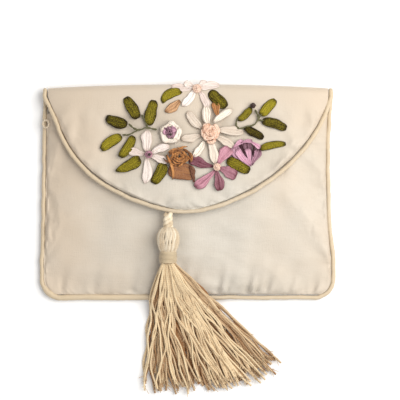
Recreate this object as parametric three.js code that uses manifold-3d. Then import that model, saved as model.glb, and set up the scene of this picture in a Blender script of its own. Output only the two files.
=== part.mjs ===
// A silk envelope purse with ribbon flowers and a tassel, lying on its back with the flap closed.
// +X is the purse's right, +Y runs from its bottom seam to its fold, and +Z is up, in millimetres.
// The origin is the middle of the flat back, on the surface that the purse lies on.

import * as THREE from "three";
import { mergeVertices } from "three/addons/utils/BufferGeometryUtils.js";
import Module from "manifold-3d";

const wasm = await Module();
wasm.setup();

// Sizes of the pouch
const PURSE_WIDTH = 122.4;
const PURSE_HEIGHT = 89;
const CLOTH = 1.6;
const HEM = 1.0;
const PIPING = 1.8;
const GAP = 0.3;
const CORNER_LEFT = 9;
const CORNER_RIGHT = 8.5;
const CORNER_EASE = 1;
const WAIST_LEFT = 0.9;
const WAIST_RIGHT = 2.1;
const WAIST_ABOVE_MIDDLE = 9;
const WAIST_REACH = 37;
const LEAN_LEFT = 1.5;
const LEAN_RIGHT = 0.3;
const POCKET_DEPTH = 6;
const POCKET_DEPTH_AT_FOLD = 3;
const MOUTH_BELOW_FOLD = 12;
const FOLD_ROUND = 2.4;
const FOLD_CROWN = 1.8;
const GATHER_LENGTH = 9;

// Sizes of the flap and its clasp
const FLAP_DEPTH = 53.5;
const FLAP_LIFT = 0.8;
const FLAP_FULLNESS_LEFT = 1.63;
const FLAP_FULLNESS_RIGHT = 1.52;
const TAPER_LEFT = 25;
const TAPER_RIGHT = 12.3;
const TAPER_EASE_LEFT = 2.8;
const TAPER_EASE_RIGHT = 1;
const SNAP_DIAMETER = 9;
const SNAP_THICKNESS = 1.4;
const SNAP_MARGIN = 1;
const SNAP_ABOVE_TIP = 14;
const SNAP_SWELL = 30;

// Sizes of the thread ring on the left seam
const RING_DIAMETER = 3.6;
const RING_THREAD = 0.8;
const RING_BELOW_FOLD = 16.4;

// Sizes of the tassel
const TASSEL_LEFT_OF_MIDDLE = 7.9;
const HANGER_LENGTH = 5.2;
const HANGER_WIDTH = 4;
const HEAD_LENGTH = 9.4;
const HEAD_WIDTH = 9;
const HEAD_THICKNESS = 7;
const BINDING_LENGTH = 5;
const BINDING_WALL = 0.7;
const NECK_WIDTH = 5.2;
const NECK_THICKNESS = 4.4;
const SKIRT_LENGTH = 52;
const FAN_LEFT = 9;
const FAN_RIGHT = 45;
const FAN_RISE = 13;
const LOCK_WIDTH = 5.6;
const LOCK_THICKNESS = 1.7;
const DRAPE_LENGTH = 9;

// Sizes of the ribbon embroidery
const SPRAY_WIDTH = 77.5;
const RIBBON_WIDTH = 4;
const RIBBON_RISE = 1.2;

// Numbers of facets
const PIPING_SIDES = 8;
const BODY_COLUMNS = 16;
const FRONT_COLUMNS = 20;
const FOLD_STEPS = 6;
const FLAP_ROWS = 13;
const BODY_PIPING_STEPS = 38;
const FLAP_PIPING_STEPS = 36;
const LOWER_LOCKS = 10;
const UPPER_LOCKS = 6;
const LOCK_STEPS = 6;

const SILK = { color: 0xded2bd, roughness: 0.62, metalness: 0 };
const PIPING_SILK = { color: 0xe4d2b9, roughness: 0.6, metalness: 0 };
const TASSEL_THREAD = { color: 0xcfb58f, roughness: 0.55, metalness: 0 };
const LOOP_THREAD = { color: 0xe8dcc6, roughness: 0.7, metalness: 0 };
const LEAF_RIBBON = { color: 0x75691c, roughness: 0.5, metalness: 0 };
const WHITE_RIBBON = { color: 0xf6ece2, roughness: 0.5, metalness: 0 };
const PEACH_RIBBON = { color: 0xe7c2b0, roughness: 0.5, metalness: 0 };
const LAVENDER_RIBBON = { color: 0xb98aa4, roughness: 0.5, metalness: 0 };
const MAUVE_RIBBON = { color: 0x9a5a68, roughness: 0.5, metalness: 0 };
const BROWN_RIBBON = { color: 0xb98052, roughness: 0.5, metalness: 0 };
const SNAP_METAL = { color: 0xb9b6ae, roughness: 0.35, metalness: 1 };

// The gathers along the bottom seam: across is a share of the half width, width and depth are shares of
// the gathers' length
const GATHERS = [
  { across: -0.62, width: 0.55, depth: 0.05 },
  { across: -0.1, width: 0.6, depth: 0.07 },
  { across: 0.16, width: 0.45, depth: 0.08 },
  { across: 0.38, width: 0.5, depth: 0.08 },
  { across: 0.56, width: 0.45, depth: 0.06 },
];

// Ribbon leaves: start and end are [across, down] from the middle of the fold in shares of the spray's
// width, width is a share of the ribbon's, and bow bends the leaf sideways by that share of its length
const LEAVES = [
  { start: [-0.329, 0.08], end: [-0.259, 0.176], width: 1.03, bow: 0 },
  { start: [-0.43, 0.182], end: [-0.324, 0.214], width: 1.03, bow: 0 },
  { start: [-0.457, 0.337], end: [-0.361, 0.278], width: 0.93, bow: 0.06 },
  { start: [-0.302, 0.278], end: [-0.345, 0.39], width: 0.93, bow: 0 },
  { start: [-0.275, 0.412], end: [-0.377, 0.465], width: 1.1, bow: 0 },
  { start: [-0.136, 0.444], end: [-0.179, 0.529], width: 1.1, bow: 0 },
  { start: [-0.184, 0.091], end: [-0.206, 0.219], width: 1.1, bow: 0 },
  { start: [-0.131, 0.086], end: [-0.056, 0.048], width: 0.7, bow: 0.1 },
  { start: [0.115, 0.043], end: [0.206, 0.118], width: 0.93, bow: 0 },
  { start: [0.35, 0.123], end: [0.273, 0.214], width: 0.62, bow: -0.12 },
  { start: [0.393, 0.16], end: [0.468, 0.086], width: 0.93, bow: 0 },
  { start: [0.404, 0.203], end: [0.521, 0.235], width: 0.93, bow: 0 },
  { start: [0.307, 0.241], end: [0.398, 0.289], width: 0.83, bow: 0 },
  { start: [0.393, 0.353], end: [0.527, 0.31], width: 0.62, bow: 0.06 },
  { start: [0.238, 0.422], end: [0.329, 0.465], width: 0.93, bow: 0 },
];

// Flowers of straight petals: turn is a petal's angle in degrees, reach a share of the spray's width and
// width a share of the ribbon's
const FLOWERS = [
  {
    name: "white_flower",
    finish: WHITE_RIBBON,
    at: [0.11, 0.262],
    petals: [
      { turn: 101, reach: 0.107, width: 0.9 },
      { turn: 44, reach: 0.144, width: 0.9 },
      { turn: 2, reach: 0.155, width: 0.9 },
      { turn: -31, reach: 0.118, width: 0.9 },
      { turn: -75, reach: 0.123, width: 0.85 },
      { turn: -117, reach: 0.112, width: 0.85 },
      { turn: -164, reach: 0.123, width: 0.9 },
      { turn: 135, reach: 0.134, width: 0.9 },
    ],
  },
  {
    name: "pale_flower",
    finish: WHITE_RIBBON,
    at: [-0.211, 0.38],
    petals: [
      { turn: 90, reach: 0.123, width: 1.15 },
      { turn: 170, reach: 0.08, width: 0.8 },
      { turn: 19, reach: 0.102, width: 0.9 },
      { turn: -22, reach: 0.072, width: 0.75 },
      { turn: -97, reach: 0.134, width: 0.93 },
    ],
  },
  {
    name: "lavender_flower",
    finish: LAVENDER_RIBBON,
    at: [0.158, 0.444],
    petals: [
      { turn: 162, reach: 0.105, width: 0.75 },
      { turn: -132, reach: 0.139, width: 0.93 },
      { turn: -85, reach: 0.123, width: 1.03 },
      { turn: -25, reach: 0.102, width: 1.03 },
      { turn: 51, reach: 0.096, width: 1.05 },
    ],
  },
  {
    name: "top_flower",
    finish: PEACH_RIBBON,
    at: [0.056, 0.032],
    petals: [
      { turn: 14, reach: 0.12, width: 0.8 },
      { turn: -59, reach: 0.1, width: 0.8 },
      { turn: -135, reach: 0.091, width: 0.9 },
      { turn: 171, reach: 0.165, width: 0.8 },
    ],
  },
  {
    name: "mauve_bud",
    finish: MAUVE_RIBBON,
    at: [0.334, 0.433],
    petals: [
      { turn: 125, reach: 0.12, width: 0.95 },
      { turn: 105, reach: 0.145, width: 1.1 },
      { turn: 84, reach: 0.14, width: 1.1 },
      { turn: 62, reach: 0.1, width: 0.9 },
    ],
  },
];

// Gathered ribbon roses, buds and knots: radii are shares of the spray's width, rise of the ribbon's rise,
// and on is how many ribbon rises one sits above the flap
const ROSES = [
  { name: "brown_rose", finish: BROWN_RIBBON, at: [-0.04, 0.422], radii: [0.07, 0.09], rise: 2.4, lobes: 6, on: 0 },
  { name: "pink_bud", finish: PEACH_RIBBON, at: [-0.088, 0.262], radii: [0.056, 0.058], rise: 2.3, lobes: 5, on: 0 },
  { name: "white_flower_centre", finish: PEACH_RIBBON, at: [0.11, 0.262], radii: [0.054, 0.054], rise: 1.8, lobes: 9, on: 1 },
  { name: "top_flower_centre", finish: PEACH_RIBBON, at: [0.056, 0.04], radii: [0.03, 0.03], rise: 1.1, lobes: 5, on: 1 },
  { name: "pale_flower_knot", finish: MAUVE_RIBBON, at: [-0.211, 0.38], radii: [0.025, 0.025], rise: 1.1, lobes: 4, on: 1 },
  { name: "lavender_flower_knot", finish: PEACH_RIBBON, at: [0.158, 0.444], radii: [0.027, 0.027], rise: 1.1, lobes: 4, on: 1 },
];

// Single ribbon stitches that are no leaf
const STITCHES = [
  { name: "tan_ribbon", finish: PEACH_RIBBON, start: [-0.115, 0.15], end: [-0.051, 0.096], width: 0.72, bow: 0 },
  { name: "brown_ribbon", finish: BROWN_RIBBON, start: [0.147, 0.125], end: [0.168, 0.178], width: 0.6, bow: 0 },
];

const LEFT = {
  sign: -1,
  corner: CORNER_LEFT,
  waist: WAIST_LEFT,
  lean: LEAN_LEFT,
  fullness: FLAP_FULLNESS_LEFT,
  taper: TAPER_LEFT,
  taperEase: TAPER_EASE_LEFT,
};
const RIGHT = {
  sign: 1,
  corner: CORNER_RIGHT,
  waist: WAIST_RIGHT,
  lean: LEAN_RIGHT,
  fullness: FLAP_FULLNESS_RIGHT,
  taper: TAPER_RIGHT,
  taperEase: TAPER_EASE_RIGHT,
};
const SEAM_INSET = PIPING + GAP;
const FOLD_Y = PURSE_HEIGHT / 2;
const BOTTOM_Y = -PURSE_HEIGHT / 2;
const FLAP_TIP_Y = FOLD_Y - FLAP_DEPTH;
const SNAP_Y = FLAP_TIP_Y + SNAP_ABOVE_TIP;

const clamp = THREE.MathUtils.clamp;
const lerp = THREE.MathUtils.lerp;
const smooth = (value) => THREE.MathUtils.smoothstep(value, 0, 1);
const radians = THREE.MathUtils.degToRad;

// A solid's geometry from its corner points and faces, turned so that the faces look out.
function solid(points, faces) {
  const geometry = new THREE.BufferGeometry();
  geometry.setAttribute("position", new THREE.Float32BufferAttribute(points.flat(), 3));
  let volume = 0;
  const corner = (index) => new THREE.Vector3(...points[index]);
  for (let i = 0; i < faces.length; i += 3) {
    const across = corner(faces[i + 1]).cross(corner(faces[i + 2]));
    volume += corner(faces[i]).dot(across);
  }
  geometry.setIndex(volume < 0 ? faces.toReversed() : faces);
  geometry.computeVertexNormals();
  return geometry;
}

// Closes a stack of rings, all with as many points, into one solid.
function loft(rings) {
  const count = rings[0].length;
  const last = (rings.length - 1) * count;
  const faces = [];
  for (let ring = 0; ring < rings.length - 1; ring++)
    for (let k = 0; k < count; k++) {
      const a = ring * count + k;
      const b = ring * count + ((k + 1) % count);
      faces.push(a, b, b + count, a, b + count, a + count);
    }
  for (let k = 1; k < count - 1; k++) {
    faces.push(0, k + 1, k);
    faces.push(last, last + k, last + k + 1);
  }
  return solid(rings.flat(), faces);
}

// Closes two grids of points, with the same rows and columns, into one wall.
function wall(upper, lower) {
  const rows = upper.length;
  const columns = upper[0].length;
  const below = rows * columns;
  const at = (row, column) => row * columns + column;
  const faces = [];
  const quad = (a, b, c, d) => faces.push(a, b, c, a, c, d);
  for (let i = 0; i < rows - 1; i++)
    for (let j = 0; j < columns - 1; j++) {
      quad(at(i, j), at(i, j + 1), at(i + 1, j + 1), at(i + 1, j));
      quad(below + at(i, j), below + at(i + 1, j), below + at(i + 1, j + 1), below + at(i, j + 1));
    }
  for (let i = 0; i < rows - 1; i++) {
    const j = columns - 1;
    quad(at(i, 0), at(i + 1, 0), below + at(i + 1, 0), below + at(i, 0));
    quad(at(i + 1, j), at(i, j), below + at(i, j), below + at(i + 1, j));
  }
  for (let j = 0; j < columns - 1; j++) {
    const i = rows - 1;
    quad(at(0, j + 1), at(0, j), below + at(0, j), below + at(0, j + 1));
    quad(at(i, j), at(i, j + 1), below + at(i, j + 1), below + at(i, j));
  }
  return solid([...upper.flat(), ...lower.flat()], faces);
}

// Fuses closed geometries into one, and fills any pocket of air sealed between them.
function fuse(geometries) {
  const bodies = geometries.map((geometry) => {
    const bare = geometry.clone();
    bare.deleteAttribute("normal");
    bare.deleteAttribute("uv");
    const merged = mergeVertices(bare, 1e-4);
    const vertProperties = new Float32Array(merged.attributes.position.array);
    const triVerts = new Uint32Array(merged.index.array);
    return new wasm.Manifold(new wasm.Mesh({ numProp: 3, vertProperties, triVerts }));
  });
  const skins = bodies.reduce((sum, body) => sum.add(body)).decompose();
  const fused = skins.reduce((most, skin) => (skin.volume() > most.volume() ? skin : most)).getMesh();
  const geometry = new THREE.BufferGeometry();
  geometry.setAttribute("position", new THREE.BufferAttribute(fused.vertProperties, 3));
  geometry.setIndex(new THREE.BufferAttribute(fused.triVerts, 1));
  geometry.computeVertexNormals();
  return geometry;
}

// A curve whose steps follow its points, so that close points make close steps.
class SeamCurve extends THREE.CatmullRomCurve3 {
  getPointAt(share, target) {
    return this.getPoint(share, target);
  }
  getTangentAt(share, target) {
    return this.getTangent(share, target);
  }
}

function tube(points, diameter, steps) {
  const section = new THREE.Shape();
  for (let k = 0; k < PIPING_SIDES; k++) {
    const angle = (2 * Math.PI * k) / PIPING_SIDES;
    const place = [(diameter / 2) * Math.cos(angle), (diameter / 2) * Math.sin(angle)];
    if (k === 0) section.moveTo(...place);
    else section.lineTo(...place);
  }
  const extrudePath = new SeamCurve(points.map((point) => new THREE.Vector3(...point)));
  return new THREE.ExtrudeGeometry(section, { steps, extrudePath });
}

// How far the outline, drawn in by an inset, lies from the middle at a height y on one side.
function sideAt(hand, y, inset) {
  const radius = hand.corner - inset;
  const fromWaist = (y - WAIST_ABOVE_MIDDLE) / WAIST_REACH;
  const leaning = clamp(y / (PURSE_HEIGHT / 2), 0, 1);
  const drawnIn = hand.waist * Math.max(0, 1 - fromWaist * fromWaist) + hand.lean * leaning * leaning;
  const straight = PURSE_WIDTH / 2 - inset - drawnIn;
  const into = clamp(BOTTOM_Y + inset + radius - y, 0, radius);
  return straight - radius + Math.sqrt(radius * radius - into * into);
}

const handAt = (x) => (x < 0 ? LEFT : RIGHT);

// How much the pocket swells at a place, from 0 at the seams to 1 in the middle.
function swell(x, y) {
  const u = clamp(Math.abs(x) / sideAt(handAt(x), y, SEAM_INSET), 0, 1);
  const v = clamp((y - BOTTOM_Y - SEAM_INSET) / (PURSE_HEIGHT - SEAM_INSET), 0, 1);
  const acrossPart = Math.pow(1 - Math.pow(u, 3.4), 0.8);
  const upPart = Math.pow(1 - Math.pow(1 - v, 6), 0.75);
  const foldPart = lerp(1, POCKET_DEPTH_AT_FOLD / POCKET_DEPTH, smooth((v - 0.72) / 0.28));
  return acrossPart * upPart * foldPart;
}

// The dents that the gathered seam leaves in the front.
function gatherDepth(x, y) {
  const fade = Math.exp(-(y - BOTTOM_Y - SEAM_INSET) / GATHER_LENGTH);
  let depth = 0;
  for (const gather of GATHERS) {
    const away = (x - (gather.across * PURSE_WIDTH) / 2) / (gather.width * GATHER_LENGTH);
    depth += gather.depth * GATHER_LENGTH * Math.exp(-away * away);
  }
  return depth * fade * smooth(swell(x, y) * 4);
}

const frontLow = (x, y) => CLOTH + GAP + POCKET_DEPTH * swell(x, y) - gatherDepth(x, y);
const frontWall = (x, y) => lerp(HEM, CLOTH, clamp(swell(x, y) * 3, 0, 1));
const frontTop = (x, y) => frontLow(x, y) + frontWall(x, y);

// How far the flap stands off the front, more over the clasp.
function flapLift(x, y) {
  const away = Math.hypot(x, y - SNAP_Y);
  const over = 1 - smooth((away - SNAP_DIAMETER / 2 - SNAP_MARGIN) / SNAP_SWELL);
  return lerp(FLAP_LIFT, SNAP_THICKNESS + 3 * GAP, over);
}

const flapLow = (x, y) => frontTop(x, y) + flapLift(x, y);
const foldEdge = (x) => FOLD_Y - FOLD_CROWN * Math.pow(x / (PURSE_WIDTH / 2), 2);
const foldCentre = (x) => foldEdge(x) - FOLD_ROUND - CLOTH / 2;
const foldRadius = (x) => flapLow(x, foldCentre(x)) / 2;

// The flap's upper face, which rounds down where it nears the fold.
function flapTop(x, y) {
  const start = foldCentre(x);
  if (y <= start) return flapLow(x, y) + CLOTH;
  const share = clamp((y - start) / (FOLD_ROUND + CLOTH / 2), 0, 0.8);
  const radius = foldRadius(x) + CLOTH / 2;
  return radius * (1 + Math.sqrt(1 - share * share));
}

const spread = (columns) =>
  Array.from({ length: columns + 1 }, (_, j) => {
    const even = (2 * j) / columns - 1;
    return lerp(even, Math.sin((even * Math.PI) / 2), 0.45);
  });

// Heights of the rows that follow the bottom corners and then the sides.
function rowHeights(top, straightRows) {
  const low = BOTTOM_Y + SEAM_INSET;
  const radius = Math.max(CORNER_LEFT, CORNER_RIGHT) - SEAM_INSET;
  const heights = [0, 25, 50, 90].map((angle) => low + radius * (1 - Math.cos(radians(angle))));
  for (let k = 1; k <= straightRows; k++) heights.push(lerp(low + radius, top, k / straightRows));
  return heights;
}

function rowAcross(y, columns) {
  const left = -sideAt(LEFT, y, SEAM_INSET);
  const right = sideAt(RIGHT, y, SEAM_INSET);
  return spread(columns).map((u) => lerp(left, right, (u + 1) / 2));
}

// The flap's cloth edge on one side, from the fold at 0 to the tip at 1.
function flapEdge(hand, share) {
  const most = radians(85);
  const angle = share * most;
  const start = foldCentre(PURSE_WIDTH / 2);
  const depth = start - FLAP_TIP_Y - SEAM_INSET;
  const width = sideAt(hand, start, SEAM_INSET);
  const down = Math.sin(angle) / Math.sin(most);
  const drawnIn = hand.taper * down * Math.pow(1 - down, hand.taperEase);
  return [hand.sign * (width * Math.pow(Math.cos(angle), 2 / hand.fullness) - drawnIn), start - depth * down];
}

// How far down the flap a row of its cloth lies, closer together towards the fold.
const flapShare = (row) => Math.pow(row / FLAP_ROWS, 0.85);

function backAndFlap() {
  const upper = [];
  const lower = [];
  for (const y of rowHeights(FOLD_Y - 3 * FOLD_ROUND, 5)) {
    const across = rowAcross(y, BODY_COLUMNS);
    upper.push(across.map((x) => [x, y, CLOTH]));
    lower.push(across.map((x) => [x, y, 0]));
  }
  const foldAcross = rowAcross(foldCentre(PURSE_WIDTH / 2), BODY_COLUMNS);
  for (let k = 0; k <= FOLD_STEPS; k++) {
    const turn = (Math.PI * k) / FOLD_STEPS;
    const row = (side) =>
      foldAcross.map((x) => {
        const radius = foldRadius(x);
        const out = new THREE.Vector2(Math.sin(turn) / FOLD_ROUND, -Math.cos(turn) / radius).setLength(CLOTH / 2);
        const y = foldCentre(x) + FOLD_ROUND * Math.sin(turn) + side * out.x;
        const z = CLOTH / 2 + radius * (1 - Math.cos(turn)) + side * out.y;
        return [x, y, z];
      });
    upper.push(row(-1));
    lower.push(row(1));
  }
  for (let row = 1; row <= FLAP_ROWS; row++) {
    const share = flapShare(row);
    const [leftX, leftY] = flapEdge(LEFT, share);
    const [rightX, rightY] = flapEdge(RIGHT, share);
    const places = spread(BODY_COLUMNS).map((u) => {
      const x = lerp(leftX, rightX, (u + 1) / 2);
      const bent = (foldCentre(x) - foldCentre(PURSE_WIDTH / 2)) * (1 - share);
      return [x, lerp(leftY, rightY, (u + 1) / 2) + bent];
    });
    upper.push(places.map(([x, y]) => [x, y, flapLow(x, y)]));
    lower.push(places.map(([x, y]) => [x, y, flapLow(x, y) + CLOTH]));
  }
  return wall(upper, lower);
}

function frontPanel() {
  const upper = [];
  const lower = [];
  for (const y of rowHeights(FOLD_Y - MOUTH_BELOW_FOLD, 9)) {
    const across = rowAcross(y, FRONT_COLUMNS);
    upper.push(across.map((x) => [x, y, frontTop(x, y)]));
    lower.push(across.map((x) => [x, y, frontLow(x, y)]));
  }
  return wall(upper, lower);
}

// The seam's piping: down the left side, round the bottom and up the right side.
function bodyPiping() {
  const inset = PIPING / 2;
  const height = CLOTH + GAP / 2;
  const side = (hand) => {
    const points = [];
    const radius = hand.corner - inset;
    const cornerY = BOTTOM_Y + hand.corner;
    const top = foldEdge(PURSE_WIDTH / 2) - PIPING / 2;
    for (let k = 0; k <= 4; k++) {
      const y = lerp(top, cornerY + CORNER_EASE, k / 4);
      points.push([hand.sign * sideAt(hand, y, inset), y, height]);
    }
    for (const angle of [10, 30, 50, 70, 88]) {
      const y = cornerY - radius * Math.sin(radians(angle));
      points.push([hand.sign * sideAt(hand, y, inset), y, height]);
    }
    return points;
  };
  const bottom = [-0.7, -0.25, 0.25, 0.7].map((share) => [
    (share * PURSE_WIDTH) / 2,
    BOTTOM_Y + inset,
    height,
  ]);
  return tube([...side(LEFT), ...bottom, ...side(RIGHT).reverse()], PIPING, BODY_PIPING_STEPS);
}

// The flap's piping, which lies against the edge of its cloth.
function flapPiping() {
  const shares = [0, 1, 2, 3, 5, 7, 8, 10, 12].map(flapShare);
  const left = shares.map((share) => flapEdge(LEFT, share));
  const right = shares.map((share) => flapEdge(RIGHT, share)).reverse();
  const edge = [...left, [0, FLAP_TIP_Y + SEAM_INSET], ...right];
  const points = edge.map(([x, y], index) => {
    const before = edge[Math.max(0, index - 1)];
    const after = edge[Math.min(edge.length - 1, index + 1)];
    const along = new THREE.Vector2(after[0] - before[0], after[1] - before[1]).normalize();
    const out = GAP + PIPING / 2;
    const height = flapLow(x, y) + CLOTH / 2;
    return [x + along.y * out, y - along.x * out, height];
  });
  return tube(points, PIPING, FLAP_PIPING_STEPS);
}

function snap() {
  const rim = Array.from({ length: 8 }, (_, k) => (Math.PI * k) / 4);
  const under = rim.map((angle) =>
    frontTop((SNAP_DIAMETER / 2) * Math.cos(angle), SNAP_Y + (SNAP_DIAMETER / 2) * Math.sin(angle)),
  );
  const geometry = new THREE.CylinderGeometry(SNAP_DIAMETER / 2, SNAP_DIAMETER / 2, SNAP_THICKNESS, 20);
  geometry.rotateX(Math.PI / 2);
  geometry.translate(0, SNAP_Y, Math.max(frontTop(0, SNAP_Y), ...under) + GAP + SNAP_THICKNESS / 2);
  return geometry;
}

function sideLoop() {
  const y = FOLD_Y - RING_BELOW_FOLD;
  const x = -sideAt(LEFT, y, PIPING * 0.8);
  const geometry = new THREE.TorusGeometry((RING_DIAMETER - RING_THREAD) / 2, RING_THREAD / 2, 6, 14);
  geometry.scale(0.9, 1.1, 1);
  const under = frontTop(x + RING_DIAMETER / 2, y);
  geometry.translate(x, y, under + GAP + RING_THREAD / 2);
  return geometry;
}

// What the tassel lies on: the front, its piping, and then the surface below.
function restHeight(x, y) {
  const seam = BOTTOM_Y + SEAM_INSET;
  const pipingTop = CLOTH + GAP / 2 + PIPING / 2;
  if (y >= seam) return Math.max(frontTop(x, y), pipingTop) + GAP;
  const past = clamp((BOTTOM_Y - y) / DRAPE_LENGTH, 0, 1);
  return (pipingTop + GAP) * (1 - smooth(past));
}

const TASSEL_X = -TASSEL_LEFT_OF_MIDDLE;
const HANGER_Y = FLAP_TIP_Y - GAP;
const HEAD_Y = HANGER_Y - HANGER_LENGTH - GAP;
const NECK_Y = HEAD_Y - HEAD_LENGTH;
const SKIRT_Y = NECK_Y - BINDING_LENGTH - 2 * GAP;

// The head's middle height, and the neck's where the skirt starts.
const HEAD_Z = Math.max(
  restHeight(TASSEL_X, HEAD_Y - HEAD_LENGTH / 2) + HEAD_THICKNESS / 2,
  restHeight(TASSEL_X, HEAD_Y - HEAD_LENGTH / 4) + HEAD_THICKNESS / 2,
);
const NECK_Z = restHeight(TASSEL_X, NECK_Y) + BINDING_WALL + GAP + NECK_THICKNESS / 2;

function tasselLoop() {
  const turns = 1.25;
  const steps = 9;
  const sides = 9;
  const rings = [];
  const startZ = flapLow(TASSEL_X, FLAP_TIP_Y + SEAM_INSET) + CLOTH / 2;
  for (let k = 0; k <= steps; k++) {
    const share = k / steps;
    const z = lerp(startZ, HEAD_Z, share);
    const y = HANGER_Y - share * HANGER_LENGTH;
    const ring = [];
    for (let i = 0; i < sides; i++) {
      const angle = (2 * Math.PI * i) / sides;
      const reach = 0.8 + 0.2 * Math.cos(3 * (angle - 2 * Math.PI * turns * share));
      const radius = (HANGER_WIDTH / 2) * reach;
      ring.push([TASSEL_X + radius * Math.cos(angle), y, z + radius * 0.6 * Math.sin(angle)]);
    }
    rings.push(ring);
  }
  return loft(rings);
}

// The head and the neck that the binding is wound round, from a profile of shares of their lengths.
function tasselHead() {
  const profile = [
    { down: 0, width: 0.42 },
    { down: 0.1, width: 0.74 },
    { down: 0.28, width: 0.96 },
    { down: 0.5, width: 1 },
    { down: 0.72, width: 0.93 },
    { down: 0.9, width: 0.76 },
    { down: 1, width: 0.6 },
  ];
  const ring = (y, z, width, thickness) =>
    Array.from({ length: 12 }, (_, i) => {
      const angle = (2 * Math.PI * i) / 12;
      return [TASSEL_X + (width / 2) * Math.cos(angle), y, z + (thickness / 2) * Math.sin(angle)];
    });
  const rings = profile.map(({ down, width }) => {
    const y = HEAD_Y - down * HEAD_LENGTH;
    const z = lerp(HEAD_Z, NECK_Z, Math.pow(down, 3));
    return ring(y, z, width * HEAD_WIDTH, width * HEAD_THICKNESS);
  });
  rings.push(ring(NECK_Y - GAP / 2, NECK_Z, NECK_WIDTH, NECK_THICKNESS));
  rings.push(ring(SKIRT_Y - NECK_WIDTH / 2, NECK_Z, NECK_WIDTH, NECK_THICKNESS));
  return loft(rings);
}

// One lock of the skirt: place goes from 0 at the fan's left to 1 at its right.
function skirtLock(place, length, raise) {
  const start = [TASSEL_X + (place - 0.5) * NECK_WIDTH * 0.7, SKIRT_Y - GAP - LOCK_WIDTH * 0.12];
  const fullEnd = [
    TASSEL_X + lerp(-FAN_LEFT, FAN_RIGHT, place),
    SKIRT_Y - SKIRT_LENGTH + FAN_RISE * Math.pow(place, 5),
  ];
  const bend = [
    TASSEL_X + lerp(-FAN_LEFT, FAN_RIGHT * 0.28, place),
    SKIRT_Y - SKIRT_LENGTH * lerp(0.42, 0.21, place),
  ];
  const rings = [];
  for (let k = 0; k <= LOCK_STEPS; k++) {
    const s = (k / LOCK_STEPS) * length;
    const blend = (i) => (1 - s) * (1 - s) * start[i] + 2 * s * (1 - s) * bend[i] + s * s * fullEnd[i];
    const slope = (i) => 2 * (1 - s) * (bend[i] - start[i]) + 2 * s * (fullEnd[i] - bend[i]);
    const x = blend(0);
    const y = blend(1);
    const side = new THREE.Vector2(slope(1), -slope(0)).normalize();
    const taper = k === LOCK_STEPS ? 0.55 : 1;
    const half = (lerp(0.42, 1, Math.min(1, s * 1.5)) * LOCK_WIDTH * taper) / 2;
    const thick = LOCK_THICKNESS * lerp(1.15, 0.85, s) * (k === LOCK_STEPS ? 0.6 : 1);
    const held = Math.pow(1 - Math.min(1, s * 2.2), 2);
    const section = [
      [-1, 0],
      [-0.6, 0.8],
      [0, 1],
      [0.6, 0.8],
      [1, 0],
    ];
    rings.push(
      section.map(([out, up]) => {
        const px = x + side.x * half * out;
        const py = y + side.y * half * out;
        const low = lerp(restHeight(px, py), NECK_Z - LOCK_THICKNESS / 2, held);
        return [px, py, low + (up > 0 ? raise * LOCK_THICKNESS + up * thick : 0)];
      }),
    );
  }
  return loft(rings);
}

function tassel() {
  const pieces = [tasselHead()];
  for (let k = 0; k < LOWER_LOCKS; k++) {
    const length = 1 - 0.03 * ((k * 2) % 3);
    pieces.push(skirtLock(k / (LOWER_LOCKS - 1), length, 0));
  }
  for (let k = 0; k < UPPER_LOCKS; k++) {
    const length = 0.86 + 0.05 * ((k * 2) % 3);
    pieces.push(skirtLock((k + 0.6) / UPPER_LOCKS, length, 0.75));
  }
  return fuse(pieces);
}

function tasselBinding() {
  const profile = [
    { up: -0.5, out: 0 },
    { up: -0.5, out: 0.7 },
    { up: -0.3, out: 1 },
    { up: 0.3, out: 1 },
    { up: 0.5, out: 0.7 },
    { up: 0.5, out: 0 },
    { up: -0.5, out: 0 },
  ];
  const inner = NECK_WIDTH / 2 + GAP;
  const points = profile.map(({ up, out }) => new THREE.Vector2(inner + out * BINDING_WALL, up * BINDING_LENGTH));
  const geometry = new THREE.LatheGeometry(points, 16);
  geometry.scale(1, 1, (NECK_THICKNESS + 2 * GAP) / (NECK_WIDTH + 2 * GAP));
  geometry.translate(TASSEL_X, NECK_Y - GAP - BINDING_LENGTH / 2, NECK_Z);
  return geometry;
}

// A place on the embroidery, from shares of the spray's width.
const sprayPlace = ([across, down]) => [across * SPRAY_WIDTH, FOLD_Y - down * SPRAY_WIDTH];

// Sections of a ribbon: out is a share of its half width, up a share of its rise.
const CREASED = [
  [-1, 0.3],
  [-0.55, 1],
  [0, 0.75],
  [0.55, 1],
  [1, 0.3],
  [0, 0],
];
const ROUNDED = [
  [-1, 0.3],
  [-0.5, 1],
  [0.5, 1],
  [1, 0.3],
  [0, 0],
];

// One ribbon stitch that lies on the flap and is drawn in at both ends.
function ribbonStitch(start, end, width, bow, section) {
  const along = new THREE.Vector2(end[0] - start[0], end[1] - start[1]);
  const length = along.length();
  along.normalize();
  const side = new THREE.Vector2(-along.y, along.x);
  const stations = [0, 0.16, 0.48, 0.82, 1];
  const rings = stations.map((s) => {
    const full = Math.pow(Math.sin(Math.PI * lerp(0.07, 0.93, s)), 0.6);
    const half = (width * full) / 2;
    const rise = RIBBON_RISE * lerp(0.45, 1, full);
    const off = bow * length * Math.sin(Math.PI * s);
    return section.map(([out, up]) => {
      const x = start[0] + along.x * s * length + side.x * (off + half * out);
      const y = start[1] + along.y * s * length + side.y * (off + half * out);
      return [x, y, flapTop(x, y) + GAP + up * rise];
    });
  });
  return loft(rings);
}

const stitch = ({ start, end, width, bow }) =>
  ribbonStitch(sprayPlace(start), sprayPlace(end), width * RIBBON_WIDTH, bow, CREASED);

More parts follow.
